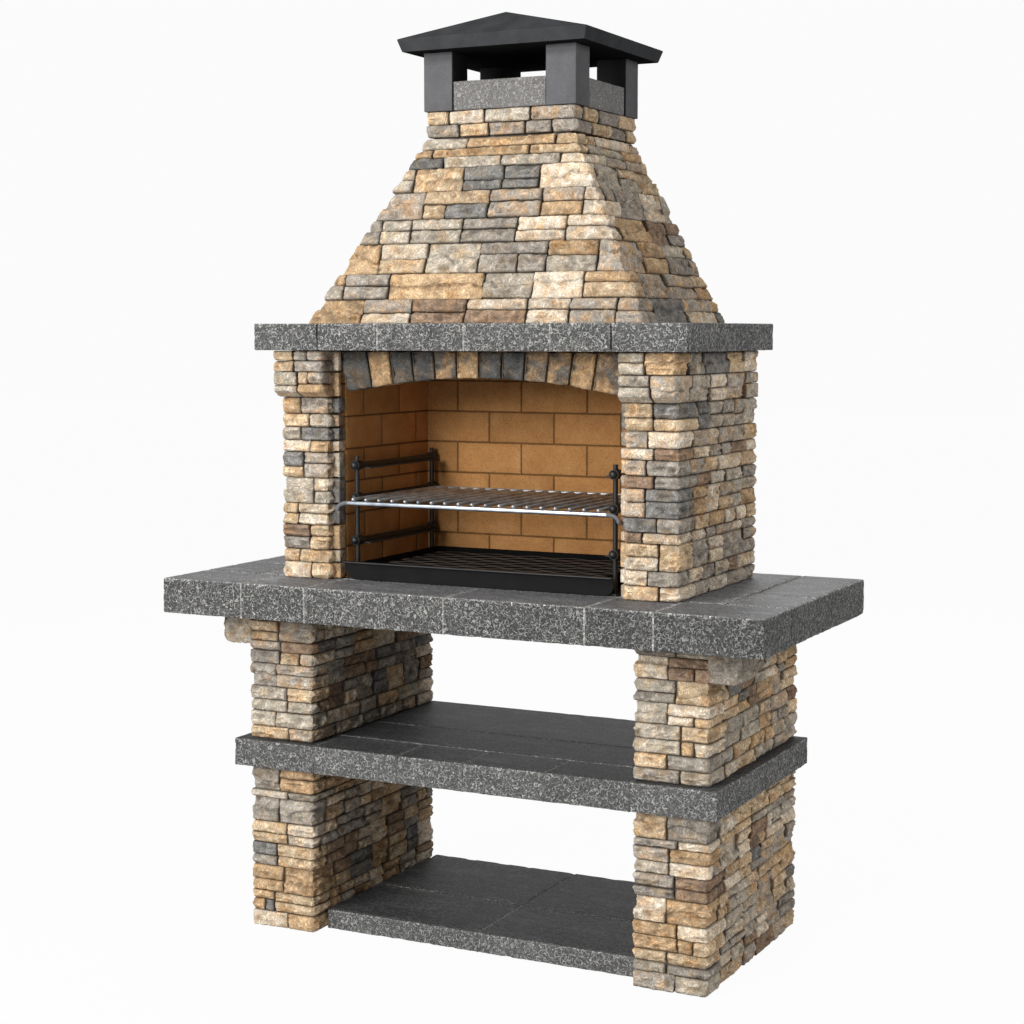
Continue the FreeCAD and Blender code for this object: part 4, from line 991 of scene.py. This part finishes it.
# Basalt blocks: bush-hammered sides, honed tops, a worn and chipped arris painted paler as wear and as a highlight;
# mortar between them
basaltBlock = dict(dullBlock, bend=3.6, steps=(6, 14, 5.5), relief=1.7, chip=3.4, chipSize=17, honed=True,
                   shade=(0.92, 1.08), arris=0.55)
mortar = dict(dullBlock, steps=(300, 300, 300), relief=0, chip=0, chipSize=10)
stoneMortar = dict(mortar, bend=5, shade=(6.5, 6.5), sunk=np.array([3, 2.8, 1.2]))
shelfMortar = dict(stoneMortar, shade=(0.5, 0.5))
jointMortar = dict(mortar, bend=0.5, shade=(4.5, 4.5))
shelfJoint = dict(jointMortar, shade=(1.7, 1.7))
mortarTint = (1.0, 0.98, 0.92)
jointFill = dict(lap=1.3, sunk=0.9)
stoneJoint = 2
halfJoint = stoneJoint / 2


def plain(tone):
    # mortar is struck smooth: no bruises on it, and no painted shade along its edges
    return np.column_stack([tone[:, :3] * mortarTint, np.ones(len(tone))])


def blockPiece(name, boxes, look, slotName, nodes, seed, bed=None, joints=(), finish=None, fill=jointMortar):
    # blocks with mortar between them: one box around them all, a little smaller each way, and strips in the joints
    rng = np.random.default_rng(seed)
    heap = Heap()
    if bed:
        low, high = np.min(boxes, 0)[0], np.max(boxes, 0)[1]
        points, faces, tone = hewBlock(low + bed["sunk"], high - bed["sunk"], bed, rng)
        heap.add(points, faces, dict(toneA=plain(tone)))
    for box in boxes:
        points, faces, tone = hewBlock(*box, look, rng)
        heap.add(points, faces, dict(toneA=tone))
    for box in joints:
        points, faces, tone = hewBlock(*box, fill, rng)
        heap.add(points, faces, dict(toneA=plain(tone)))
    heap.piece(name, slotName, nodes, finish=finish)


def rowBoxes(x, widths, y, z):
    # stones side by side along X, a joint apart, the last one up to the end
    marks = np.concatenate([[x[0]], x[0] + np.cumsum(widths), [x[1] + stoneJoint]])
    return [cornersOf((one, two - stoneJoint), y, z) for one, two in zip(marks[:-1], marks[1:])]


def uprightJoints(boxes):
    # mortar between neighbours in a row: a strip a little wider than the joint, just behind the stones' faces
    lap, sunk = jointFill["lap"], jointFill["sunk"]
    return [cornersOf((one[1, 0] - lap, two[0, 0] + lap), (one[0, 1] + sunk, one[1, 1] - lap),
                      (one[0, 2] + sunk, one[1, 2] - sunk)) for one, two in zip(boxes, boxes[1:])]


# Worktop, shelf and ground stones, in the widths of the real rows
slabRows = dict(worktop=[236, 182, 382, 359, 166], shelf=[234, 240, 181, 215, 217], ground=[431],
                mantel=[170, 233, 223])
slabSplits = dict(ends=195, shelf=190, ground=255, mantel=260)  # where the stones behind the front ones begin
# painted light: the worktop's honed tops are painted twice as light (topShade), where light falls on them
worktopLook = dict(basaltBlock, topShade=2.0)
x, y, z = sidesOf("worktop_front_stones")
row = rowBoxes(x, slabRows["worktop"], y - (0, halfJoint), z)
blockPiece("worktop_edge_blocks", row, worktopLook, "basalt", ["worktop_front_stones"], 51,
           stoneMortar, uprightJoints(row))
endX, endY, endZ = sidesOf("worktop_end_stones")
slabX, slabY, slabZ = sidesOf("worktop_slab")
split = endY[0] + slabSplits["ends"]
endBoxes = [cornersOf(x, y, endZ) for x in ((endX[0], slabX[0] - halfJoint), (slabX[1] + halfJoint, endX[1]))
            for y in ((endY[0] + halfJoint, split - stoneJoint), (split, endY[1]))]
blockPiece("worktop_end_blocks", endBoxes, dict(worktopLook, steps=(14, 6, 5.5)), "basalt", ["worktop_end_stones"], 52)
slabBox = cornersOf(slabX + (halfJoint, -halfJoint), slabY + (halfJoint, 0), slabZ)
blockPiece("worktop_slab_stone", [slabBox], dict(worktopLook, steps=(20, 20, 12)), "basalt", ["worktop_slab"], 53)

# painted light and shade for the slabs under the worktop: a basalt painted paler on its faces and given little sheen,
# with tops painted darker (topShade) as they lie in shade
shadedBayFinish = basaltFinish("shelteredBasalt")
x, y, z = sidesOf("shelf_edge_stones")
row = rowBoxes(x, slabRows["shelf"], y - (0, halfJoint), z)
blockPiece("shelf_edge_blocks", row, dict(basaltBlock, topShade=0.68), "basalt", ["shelf_edge_stones"], 54,
           shelfMortar, uprightJoints(row), shadedBayFinish, shelfJoint)
x, y, z = sidesOf("shelf_slab")
split = y[0] + slabSplits["shelf"]
slabBoxes = [cornersOf(x, (y[0] + halfJoint, split - stoneJoint), z), cornersOf(x, (split, y[1]), z)]
blockPiece("shelf_slab_stones", slabBoxes, dict(basaltBlock, steps=(18, 10, 6), topShade=0.6), "basalt",
           ["shelf_slab"], 55, shelfMortar, (), shadedBayFinish)
x, y, z = sidesOf("ground_slab")
split = y[0] + slabSplits["ground"]
front = rowBoxes(x, slabRows["ground"], (y[0], split - stoneJoint), z)
behind = rowBoxes(x, slabRows["ground"], (split, y[1]), z)
# the ground stones' faces are painted a little paler (shade) and their tops darker (topShade), as painted light and
# shade
groundLook = dict(basaltBlock, steps=(7, 18, 5.5), topShade=0.63, shade=(1.0, 1.12))
blockPiece("ground_slab_stones", front + behind, groundLook, "basalt", ["ground_slab"], 56,
           shelfMortar, uprightJoints(front), shadedBayFinish, shelfJoint)

# Mantel: front row, corner and end stones, back stone
mantelLook = dict(basaltBlock, shade=(1.12, 1.26))
mantelBack = 58
x, y, z = sidesOf("mantel_front_stones")
row = rowBoxes(x + (halfJoint, -halfJoint), slabRows["mantel"], y, z)
blockPiece("mantel_front_blocks", row, mantelLook, "basalt", ["mantel_front_stones"], 57,
           stoneMortar, uprightJoints(row))
ringX, ringY, ringZ = sidesOf("mantel_ring_stones")
split = ringY[0] + slabSplits["mantel"]
ringBoxes = [cornersOf(x, (ringY[1] - mantelBack, ringY[1]), z)]
ringBoxes += [cornersOf(end, part, ringZ) for end in ((ringX[0], x[0]), (x[1], ringX[1]))
              for part in ((ringY[0], split - stoneJoint), (split, ringY[1]))]
blockPiece("mantel_ring_blocks", ringBoxes, dict(mantelLook, steps=(7, 7, 5.5)), "basalt", ["mantel_ring_stones"], 58)
print("slabs done")

# Firebricks in running bond: the linings' lengths in half bricks, and how pale they are; the side linings are painted
# paler than the back, as painted light
brickBlock = dict(dullBlock, bend=1.6, steps=(22, 22, 22), relief=0.5, chip=1.2, chipSize=12)
brickMortar = dict(mortar, bend=0.6, shade=(0.36, 0.36), sunk=1.0)
brickBond = dict(courses=7, joint=3)
linings = dict(
    left=dict(halves=5, shade=(1.05, 1.25), seed=61),
    right=dict(halves=5, shade=(1.05, 1.25), seed=62),
    back=dict(halves=8, shade=(0.88, 1.08), seed=63),
)


def bondRows(halves, run, rise):
    # even courses start with a whole brick, odd ones with a half
    tall = (rise[1] - rise[0]) / brickBond["courses"]
    step = (run[1] - run[0]) / halves
    for course in range(brickBond["courses"]):
        base = rise[0] + tall * course
        top = base + tall - brickBond["joint"]
        cuts = sorted({0, halves, *range(course % 2, halves, 2)})
        for one, two in zip(cuts, cuts[1:]):
            last = run[1] if two == halves else run[0] + step * two - brickBond["joint"]
            yield (run[0] + step * one, last), (base, top)


for side, lining in linings.items():
    x, y, z = sidesOf(f"{side}_firebricks")
    if side == "back":
        boxes = [cornersOf(run, y, rise) for run, rise in bondRows(lining["halves"], x, z)]
    else:
        boxes = [cornersOf(x, run, rise) for run, rise in bondRows(lining["halves"], y, z)]
    blockPiece(f"{side}_firebrick_lining", boxes, dict(brickBlock, shade=lining["shade"]), "firebrick",
               [f"{side}_firebricks"], lining["seed"], brickMortar)
print("firebricks done")

# Corbels: one hewn stone each, its lower outer edge rounded off; built in a little way behind the leg's face
corbelLook = dict(dullBlock, bend=4.5, steps=(4, 4, 4), relief=1.5, chip=4.0, chipSize=15, crag=6.0)
corbelCut = dict(round=28, inset=14, front=2)
corbelTones = dict(left=("#b5ab9d", "#96876f"), right=("#a59c90", "#8a8076"))
rng = np.random.default_rng(21)
for side, colours in corbelTones.items():
    low, high = boxOf(f"{side}_corbel")
    face = boxOf(f"{side}_upper_leg_stone")
    if side == "left":
        wall, tip = face[0][0] + corbelCut["inset"], low[0]
    else:
        wall, tip = face[1][0] - corbelCut["inset"], high[0]
    low[0], high[0] = min(wall, tip), max(wall, tip)
    low[1] += corbelCut["front"]
    points, faces, tone = hewBlock(low, high, corbelLook, rng)
    under = np.clip(low[2] + corbelCut["round"] - points[:, 2], 0, corbelCut["round"])
    cutBack = corbelCut["round"] - np.sqrt(corbelCut["round"] ** 2 - under ** 2)
    points[:, 0] = wall + (points[:, 0] - wall) * (1 - cutBack / abs(tip - wall))
    tones = stonePair(colours, tone, rng)
    makePiece(f"{side}_corbel_stones", points, faces, "split_stone", [f"{side}_corbel"], tones=tones)
print("corbels done")

# Arch: twelve wedge stones, dark and tan in turn as on the real one: (main tone, tone of its clouds)
archTones = dict(dark=("#616160", "#817362"), tan=("#c7a47b", "#8f7f6c"), mixed=("#777067", "#bd9a72"))
archOrder = "dark tan dark dark mixed tan dark dark mixed mixed tan mixed".split()
archLook = dict(dullBlock, bend=3.6, steps=(4.0, 9, 4.0), relief=1.6, chip=3.0, chipSize=14, crag=8.0,
                open=np.array([0.15, 1, 0.5]))
archCut = dict(radius=1700, crown=66, joint=2, bearing=16, wide=60.0, tall=80.0)
low, high = boxOf("arch_stones")
reach = archCut["radius"] + archCut["crown"]
centre = high[2] - reach
spanAngle = math.atan((boxOf("back_firebricks")[1][0] - archCut["joint"]) / reach)
rng = np.random.default_rng(71)
heap = Heap()
for number, name in enumerate(archOrder):
    angles = spanAngle * (2 * np.array([number, number + 1]) / len(archOrder) - 1)
    inset = np.array([1, -1]) * archCut["joint"] / 2
    if number == 0:  # the end stones run in behind the imposts
        inset[0] -= archCut["bearing"]
    if number == len(archOrder) - 1:
        inset[1] += archCut["bearing"]
    feet = np.column_stack([archCut["radius"] * np.sin(angles) + inset, centre + archCut["radius"] * np.cos(angles)])
    heads = np.column_stack([reach * np.tan(angles) + inset, [high[2], high[2]]])
    # a plain block is hewn first, then drawn into the wedge
    size = np.array([archCut["wide"], high[1] - low[1], archCut["tall"]])
    points, faces, tone = hewBlock(np.zeros(3), size, archLook, rng)
    u, w = points[:, 0, None] / size[0], points[:, 2, None] / size[2]
    flat = (feet[0] * (1 - u) + feet[1] * u) * (1 - w) + (heads[0] * (1 - u) + heads[1] * u) * w
    placed = np.column_stack([flat[:, 0], points[:, 1] + low[1], flat[:, 1]])
    heap.add(placed, faces, stonePair(archTones[name], tone, rng))
heap.piece("arch_wedge_stones", "arch_stone", ["arch_stones"])
print("arch done")

# Chimney cap: posts, panels and roof
smoothBlock = dict(dullBlock, bend=2.4, steps=(16, 16, 16), relief=0.25, chip=0.6, chipSize=14, shade=(0.97, 1.03))
panelBlock = dict(basaltBlock, steps=(7, 7, 7), relief=0.8, chip=1.5, shade=(0.97, 1.03), arris=0.1)
capCut = dict(post=80, panel=40)
paintedCapShade = 0.3
paintedShadeReach = 2


def bothEnds(extent, wide):
    # a strip of that width at either end
    return (extent[0], extent[0] + wide), (extent[1] - wide, extent[1])


x, y, z = sidesOf("cap_posts")
rng = np.random.default_rng(81)
heap = Heap()
for postX in bothEnds(x, capCut["post"]):
    for postY in bothEnds(y, capCut["post"]):
        points, faces, tone = hewBlock(*cornersOf(postX, postY, z), smoothBlock, rng)
        # painted shade on the two sides that face into the cap
        inward = [side[1] if sum(side) < sum(extent) else side[0] for side, extent in ((postX, x), (postY, y))]
        facing = (np.abs(points[:, :2] - inward) < paintedShadeReach).any(1)
        tone[:, :3] *= np.where(facing, paintedCapShade, 1)[:, None]
        heap.add(points, faces, dict(toneA=tone))
heap.piece("cap_corner_posts", "cap_concrete", ["cap_posts"])
panelX, panelY, panelZ = sidesOf("cap_panels")
between = np.array([capCut["post"], -capCut["post"]])
panelBoxes = [cornersOf(side, y + between, panelZ) for side in bothEnds(panelX, capCut["panel"])]
panelBoxes += [cornersOf(x + between, side, panelZ) for side in bothEnds(panelY, capCut["panel"])]
blockPiece("cap_low_panels", panelBoxes, panelBlock, "basalt", ["cap_panels"], 82,
           finish=basaltFinish("fineHammeredBasalt"))


def loft(rings):
    # a skin over a stack of closed rings that run anticlockwise about the way they are stacked, with flat ends
    rings = np.asarray(rings, float)
    levels, around = rings.shape[:2]
    at = np.arange(levels - 1)[:, None] * around + np.arange(around)
    beside = np.arange(levels - 1)[:, None] * around + (np.arange(around) + 1) % around
    quads = np.stack([at, beside, beside + around, at + around], -1).reshape(-1, 4)
    ends = np.stack([np.arange(around)[::-1], (levels - 1) * around + np.arange(around)])
    return rings.reshape(-1, 3), [quads, ends]


def ringAt(x, y, z, inset, radius, steps=6):
    # a rounded rectangle at one height, that far inside the extents
    plan = roundedPath(rectangle((x[0] + inset, y[0] + inset), (x[1] - inset, y[1] - inset)), radius, steps=steps)[0]
    return np.column_stack([plan, np.full(len(plan), z)])


# Roof: (inset, height) of the underside, the drip edge and the softened rim, then the hips up to the ridge
roofLook = dict(rim=((40, 0), (11, 0), (9, 0.8), (0.4, 27), (0.0, 28.8), (1.2, 30.6)), soft=2.5,
                hip=88, shares=(0.25, 0.5, 0.75, 0.985), hipSoft=1.4, ridge=1.5, tip=1.0, tipSoft=0.9)
x, y, z = sidesOf("chimney_roof")
rings = [ringAt(x, y, z[0] + rise, inset, roofLook["soft"]) for inset, rise in roofLook["rim"]]
rimInset, rimTop = roofLook["rim"][-1]
for share in roofLook["shares"]:
    half = (x[1] - rimInset) * (1 - share) + roofLook["ridge"] * share
    back = rimInset + (roofLook["hip"] - rimInset) * share
    height = z[0] + rimTop + (z[1] - z[0] - rimTop) * share
    rings.append(ringAt((-half, half), y + (back, -back), height, 0, roofLook["hipSoft"]))
tip, hip = roofLook["tip"], roofLook["hip"]
rings.append(ringAt((-tip, tip), y + (hip, -hip), z[1], 0, roofLook["tipSoft"]))
points, faces = loft(rings)
shade = np.where(np.arange(len(rings)) < 2, paintedCapShade, 1.0)  # the underside is painted dark as shade
tone = np.repeat(np.column_stack([shade, shade, shade, shade]), len(rings[0]), 0)
makePiece("chimney_hip_roof", points, faces, "roof_concrete", ["chimney_roof"], tones=dict(toneA=tone), crease=20)
print("chimney cap done")


def circleTurns(count):
    return np.linspace(0, 2 * math.pi, count, endpoint=False)


def rod(start, end, radius, sides=14, soft=0.35):
    # a round bar between two points: circles along its axis, shrinking at both ends to a softened rim
    start, end = np.array(start, float), np.array(end, float)
    length = np.linalg.norm(end - start)
    ahead = (end - start) / length
    one = np.cross(ahead, (0, 0, 1))
    one /= np.linalg.norm(one)
    two = np.cross(ahead, one)
    turn = circleTurns(sides)
    circle = np.cos(turn)[:, None] * one + np.sin(turn)[:, None] * two
    soft = soft * radius
    bow = np.linspace(0, math.pi / 2, 4)
    wide = radius - soft + soft * np.sin(bow)
    marks = np.concatenate([soft * (1 - np.cos(bow)), length - soft * (1 - np.cos(bow[::-1]))])
    widths = np.concatenate([wide, wide[::-1]])
    return loft(start + marks[:, None, None] * ahead + widths[:, None, None] * circle)


# Grill: bright rods on a front bar, a back bar and two cross bars
grillRods = dict(count=19, radius=4, tip=0.9, barSides=20)
smoked = platedFinish("smokedPlatedRod")
radius = grillRods["radius"]
x, y, z = sidesOf("grill_rods")
heap = Heap()
for at in np.linspace(x[0] + radius, x[1] - radius, grillRods["count"]):
    heap.add(*rod((at, y[0], z[1] - radius), (at, y[1], z[1] - radius), radius, soft=grillRods["tip"]))
heap.piece("grill_food_rods", "bright_steel", ["grill_rods"], "grill", smoked)
for place, finish in (("front", None), ("back", smoked)):
    x, y, z = sidesOf(f"grill_{place}_bar")
    middle = (y.mean(), z.mean())
    points, faces = rod((x[0], *middle), (x[1], *middle), (z[1] - z[0]) / 2, grillRods["barSides"])
    makePiece(f"grill_{place}_rod", points, faces, "bright_steel", [f"grill_{place}_bar"], "grill", finish=finish)
x, y, z = sidesOf("grill_cross_bars")
heap = Heap()
for at in (y[0] + radius, y[1] - radius):
    heap.add(*rod((x[0], at, z[1] - radius), (x[1], at, z[1] - radius), radius))
heap.piece("grill_cross_rods", "bright_steel", ["grill_cross_bars"], "grill", smoked)


def bentBar(path, wide, thick, sides=14):
    # a bar of oval section along a curve in a plane across Y: its ends close with a rounded tip
    ahead = np.gradient(path, axis=0)
    ahead /= np.linalg.norm(ahead, axis=1, keepdims=True)
    across = np.stack([-ahead[:, 2], np.zeros(len(path)), ahead[:, 0]], 1)
    walked = np.concatenate([[0], np.cumsum(np.linalg.norm(np.diff(path, axis=0), axis=1))])
    toTip = np.minimum(walked, walked[-1] - walked) / wide
    swell = np.sqrt(np.clip(1 - (1 - np.clip(toTip, 0.02, 1)) ** 2, 0, 1))
    turn = circleTurns(sides)[:, None, None]
    section = np.cos(turn) * across * wide + np.sin(turn) * np.array([0, -1, 0]) * thick
    return loft((path + section * swell[:, None]).transpose(1, 0, 2))


# Handles: a flat hook that leaves the bar and turns down, as drawn by a quadratic curve
hook = dict(knots=((-8, 0), (30, 1.0), (29, -21)), wide=5.2, thick=3.9)
hookMarks = np.concatenate([[0, 0.02, 0.05], np.linspace(0.1, 0.9, 14), [0.95, 0.98, 1.0]])[:, None]
handleFinish = ironFinish("greyCastHandle")
x, y, z = sidesOf("grill_front_bar")
for side, end, way in (("left", x[0], -1), ("right", x[1], 1)):
    one, two, three = (np.array([end + way * out, y.mean(), z.mean() + rise]) for out, rise in hook["knots"])
    curve = one * (1 - hookMarks) ** 2 + two * 2 * hookMarks * (1 - hookMarks) + three * hookMarks ** 2
    points, faces = bentBar(curve, hook["wide"], hook["thick"])
    makePiece(f"grill_{side}_hook", points, faces, "bright_steel", [f"grill_{side}_handle"], "grill",
              finish=handleFinish)
print("grill done")

# Ember tray: a pressed pan with flared walls and a softened rim
pan = dict(sheet=3, flare=12, corner=14, cornerSteps=8)
panX, panY, panZ = sidesOf("ember_tray")
flare, sheet = pan["flare"], pan["sheet"]
tall = panZ[1] - panZ[0]
# (share of the flare, height, how far inside the outer skin): up the outside, over the rim, down the inside
panProfile = ((-0.35, 0, 0), (-0.08, 0.6, 0), (0.06, 3, 0), (0.5, tall / 2, 0), (0.97, tall - 1.6, 0),
              (1.0, tall - 0.6, 0), (1.0, tall, 0.8), (1.0, tall, 2.2), (0.97, tall - 1.6, sheet),
              (0.5, tall / 2, sheet), (0.12, sheet + 3, sheet), (0, sheet + 0.8, sheet), (-0.3, sheet, sheet))
rings = []
for share, rise, inside in panProfile:
    inset = flare * (1 - share) + inside
    rings.append(ringAt(panX, panY, panZ[0] + rise, inset, pan["corner"], pan["cornerSteps"]))
points, faces = loft(rings)
makePiece("ember_tray_pan", points, faces, "black_steel", ["ember_tray"], "tray", crease=30,
          finish=ironFinish("sootedSteel"))

# Front plate: leaning sheet with a rolled lip, its lower corners rounded off
plate = dict(roll=2.4, corner=30)
x, y, z = sidesOf("tray_front_plate")
corner, rollRadius = plate["corner"], plate["roll"]
ends = x[1] - corner * (1 - np.cos(np.linspace(0, math.pi / 2, 12)))
acrossX = np.concatenate([-ends, np.linspace(-ends[-1], ends[-1], 14)[1:-1], ends[::-1]])
over = np.clip(np.abs(acrossX) - (x[1] - corner), 0, corner)
lifts = (corner - np.sqrt(corner ** 2 - over ** 2)) / tall
back = np.array([[panY[0] + flare, panZ[0]], [panY[0], panZ[1]]])  # the pan's leaning front wall
front = back - (sheet, 0)
bow = np.linspace(-math.pi / 2, -1.5 * math.pi, 7)
roll = np.column_stack([y[0] + rollRadius + rollRadius * np.cos(bow), z[1] - rollRadius + rollRadius * np.sin(bow)])
rings = []
for at, lift in zip(acrossX, lifts):
    foot = [wall[0] * (1 - lift) + wall[1] * lift for wall in (back, front)]
    middle = [(foot[0] + back[1]) / 2, (foot[1] + front[1]) / 2]
    outline = np.vstack([foot[0], middle[0], back[1], [back[1][0], z[1]], roll[::-1],
                         [front[1][0] - 0.5, z[1] - 2 * rollRadius], front[1] - (0.3, 1.5), middle[1], foot[1]])
    rings.append(np.column_stack([np.full(len(outline), at), outline]))
points, faces = loft(rings)
makePiece("tray_front_sheet", points, faces, "black_steel", ["tray_front_plate"], "tray", crease=40)

# Ember grate: wavy bars in a frame, over lower cross ribs; bars and ribs run a little way into the frame
bars = dict(count=12, wide=12, wave=8.0, length=110, inset=4, along=97, around=12, rubbed=0.1)
grateFrame = dict(rim=10, ribs=5, rib=11, drop=2.5, lap=2)
frameLook = dict(smoothBlock, steps=(20, 20, 20), bend=2.0)
x, y, z = sidesOf("ember_grate")
rim = grateFrame["rim"]
heap = Heap()
rng = np.random.default_rng(91)
along = np.linspace(x[0] + bars["inset"], x[1] - bars["inset"], bars["along"])[:, None]
turn = circleTurns(bars["around"])
pitch = (y[1] - y[0] - 2 * rim) / bars["count"]
for number in range(bars["count"]):
    # each bar's line swings to and fro along X, neighbours in opposite step
    middle = y[0] + rim + pitch * (number + 0.5)
    swing = middle + bars["wave"] * np.sin(2 * math.pi * along / bars["length"] + math.pi * number)
    rise = z.mean() + (z[1] - z[0]) / 2 * np.sin(turn)
    rings = np.stack(np.broadcast_arrays(along, swing + bars["wide"] / 2 * np.cos(turn), rise), -1)
    # painted highlight on the tops of the bars, which the finish paints grey and brown
    rubbed = (rings[..., 2] > z[1] - bars["rubbed"]).reshape(-1, 1) * 1.0
    heap.add(*loft(rings), dict(toneA=np.repeat(rubbed, 4, 1)))
inner = y + (rim - grateFrame["lap"], grateFrame["lap"] - rim)
frameBoxes = [cornersOf(x, end, z) for end in bothEnds(y, rim)] + [cornersOf(end, inner, z) for end in bothEnds(x, rim)]
for number in range(grateFrame["ribs"]):
    at = x[0] + (x[1] - x[0]) * (number + 1) / (grateFrame["ribs"] + 1)
    half = grateFrame["rib"] / 2
    frameBoxes.append(cornersOf((at - half, at + half), inner, z - (0, grateFrame["drop"])))
for box in frameBoxes:
    points, faces, _ = hewBlock(*box, frameLook, rng)
    heap.add(points, faces, dict(toneA=np.zeros((len(points), 4))))
heap.piece("ember_grate_casting", "cast_iron_grate", ["ember_grate"], "grate", ironFinish("burntCastIron"))
print("tray done")

# Every CAD node that still shows takes the finish of its slot
slotOf = {part["node"]: part["material_slot"] for part in frame["record"]["subparts"]}
for name, node in frame["nodes"].items():
    node.data.materials.clear()
    node.data.materials.append(finishes[slotOf[name]])


def seenRays(tree):
    # one for the rays that show the surroundings, to the camera or in bright metal, and zero for the others
    path = put(tree, "LightPath").outputs
    return put(tree, "Math", {0: path["Is Camera Ray"], 1: path["Is Glossy Ray"]}, operation="MAXIMUM")


# Floor: a pale sheet that the camera and the bright metal see as white, with the object's shadow left in
floorLook = dict(tone="#b4b4b4", roughness=0.9, white=0.94, strength=1.02, reach=30.0)
scene = bpy.context.scene
floorMaterial, tree, shader = newFinish("paleStudioFloor")
plug(tree, shader, {"Base Color": rgba(floorLook["tone"]), "Roughness": floorLook["roughness"]})
part = put(tree, "Math", {0: seenRays(tree), 1: floorLook["white"]}, operation="MULTIPLY")
white = put(tree, "Emission", {"Color": (1, 1, 1, 1), "Strength": floorLook["strength"]})
blend = put(tree, "MixShader", {0: part, 1: shader, 2: white})
plug(tree, tree.nodes["Material Output"], {"Surface": blend})
reach = floorLook["reach"]
floorMesh = bpy.data.meshes.new("studioFloor")
floorMesh.from_pydata([(*corner, 0) for corner in rectangle((-reach, -reach), (reach, reach))], [], [(0, 1, 2, 3)])
floorMesh.materials.append(floorMaterial)
floor = bpy.data.objects.new("studioFloor", floorMesh)
scene.collection.objects.link(floor)

# World: white where it is seen, a soft even sky for the light
skyLook = dict(light=0.17, seen=0.966)
world = bpy.data.worlds.new("studioWorld")
scene.world = world
world.use_nodes = True
tree = world.node_tree
level = put(tree, "MapRange", {0: seenRays(tree), 3: skyLook["light"], 4: skyLook["seen"]})
plug(tree, tree.nodes["Background"], {"Color": (1, 1, 1, 1), "Strength": level})

# Soft boxes: (place, aim, width, watts)
softBoxes = dict(
    keyLight=((-2.0, -3.6, 4.4), (0, 0, 1.2), 1.2, 118),
    frontLight=((-0.9, -6.2, 2.9), (0, 0, 1.1), 2.2, 286),
    sideLight=((5.0, 0.2, 3.2), (0.3, 0, 1.1), 2.4, 84),
    backLight=((-1.5, 5.0, 4.0), (0, 0, 1.2), 3.0, 90),
)
for name, (place, aim, width, watts) in softBoxes.items():
    lamp = bpy.data.lights.new(name, "AREA")
    lamp.size = width
    lamp.energy = watts
    holder = bpy.data.objects.new(name, lamp)
    way = np.array(aim) - np.array(place)
    holder.location = place
    holder.rotation_euler = (math.atan2(math.hypot(way[0], way[1]), -way[2]), 0, math.atan2(-way[0], way[1]))
    scene.collection.objects.link(holder)

# Camera where the photograph was taken from
cameraLook = dict(place=(2.11608, -4.23473, 1.51095), turn=(84.64, 0, 26.57), lens=67.2, sensor=36)
cameraData = bpy.data.cameras.new("photoCamera")
cameraData.lens = cameraLook["lens"]
cameraData.sensor_width = cameraLook["sensor"]
camera = bpy.data.objects.new("photoCamera", cameraData)
camera.location = cameraLook["place"]
camera.rotation_euler = [math.radians(angle) for angle in cameraLook["turn"]]
scene.collection.objects.link(camera)
scene.camera = camera
scene.view_settings.view_transform = "Standard"
print("stage done")
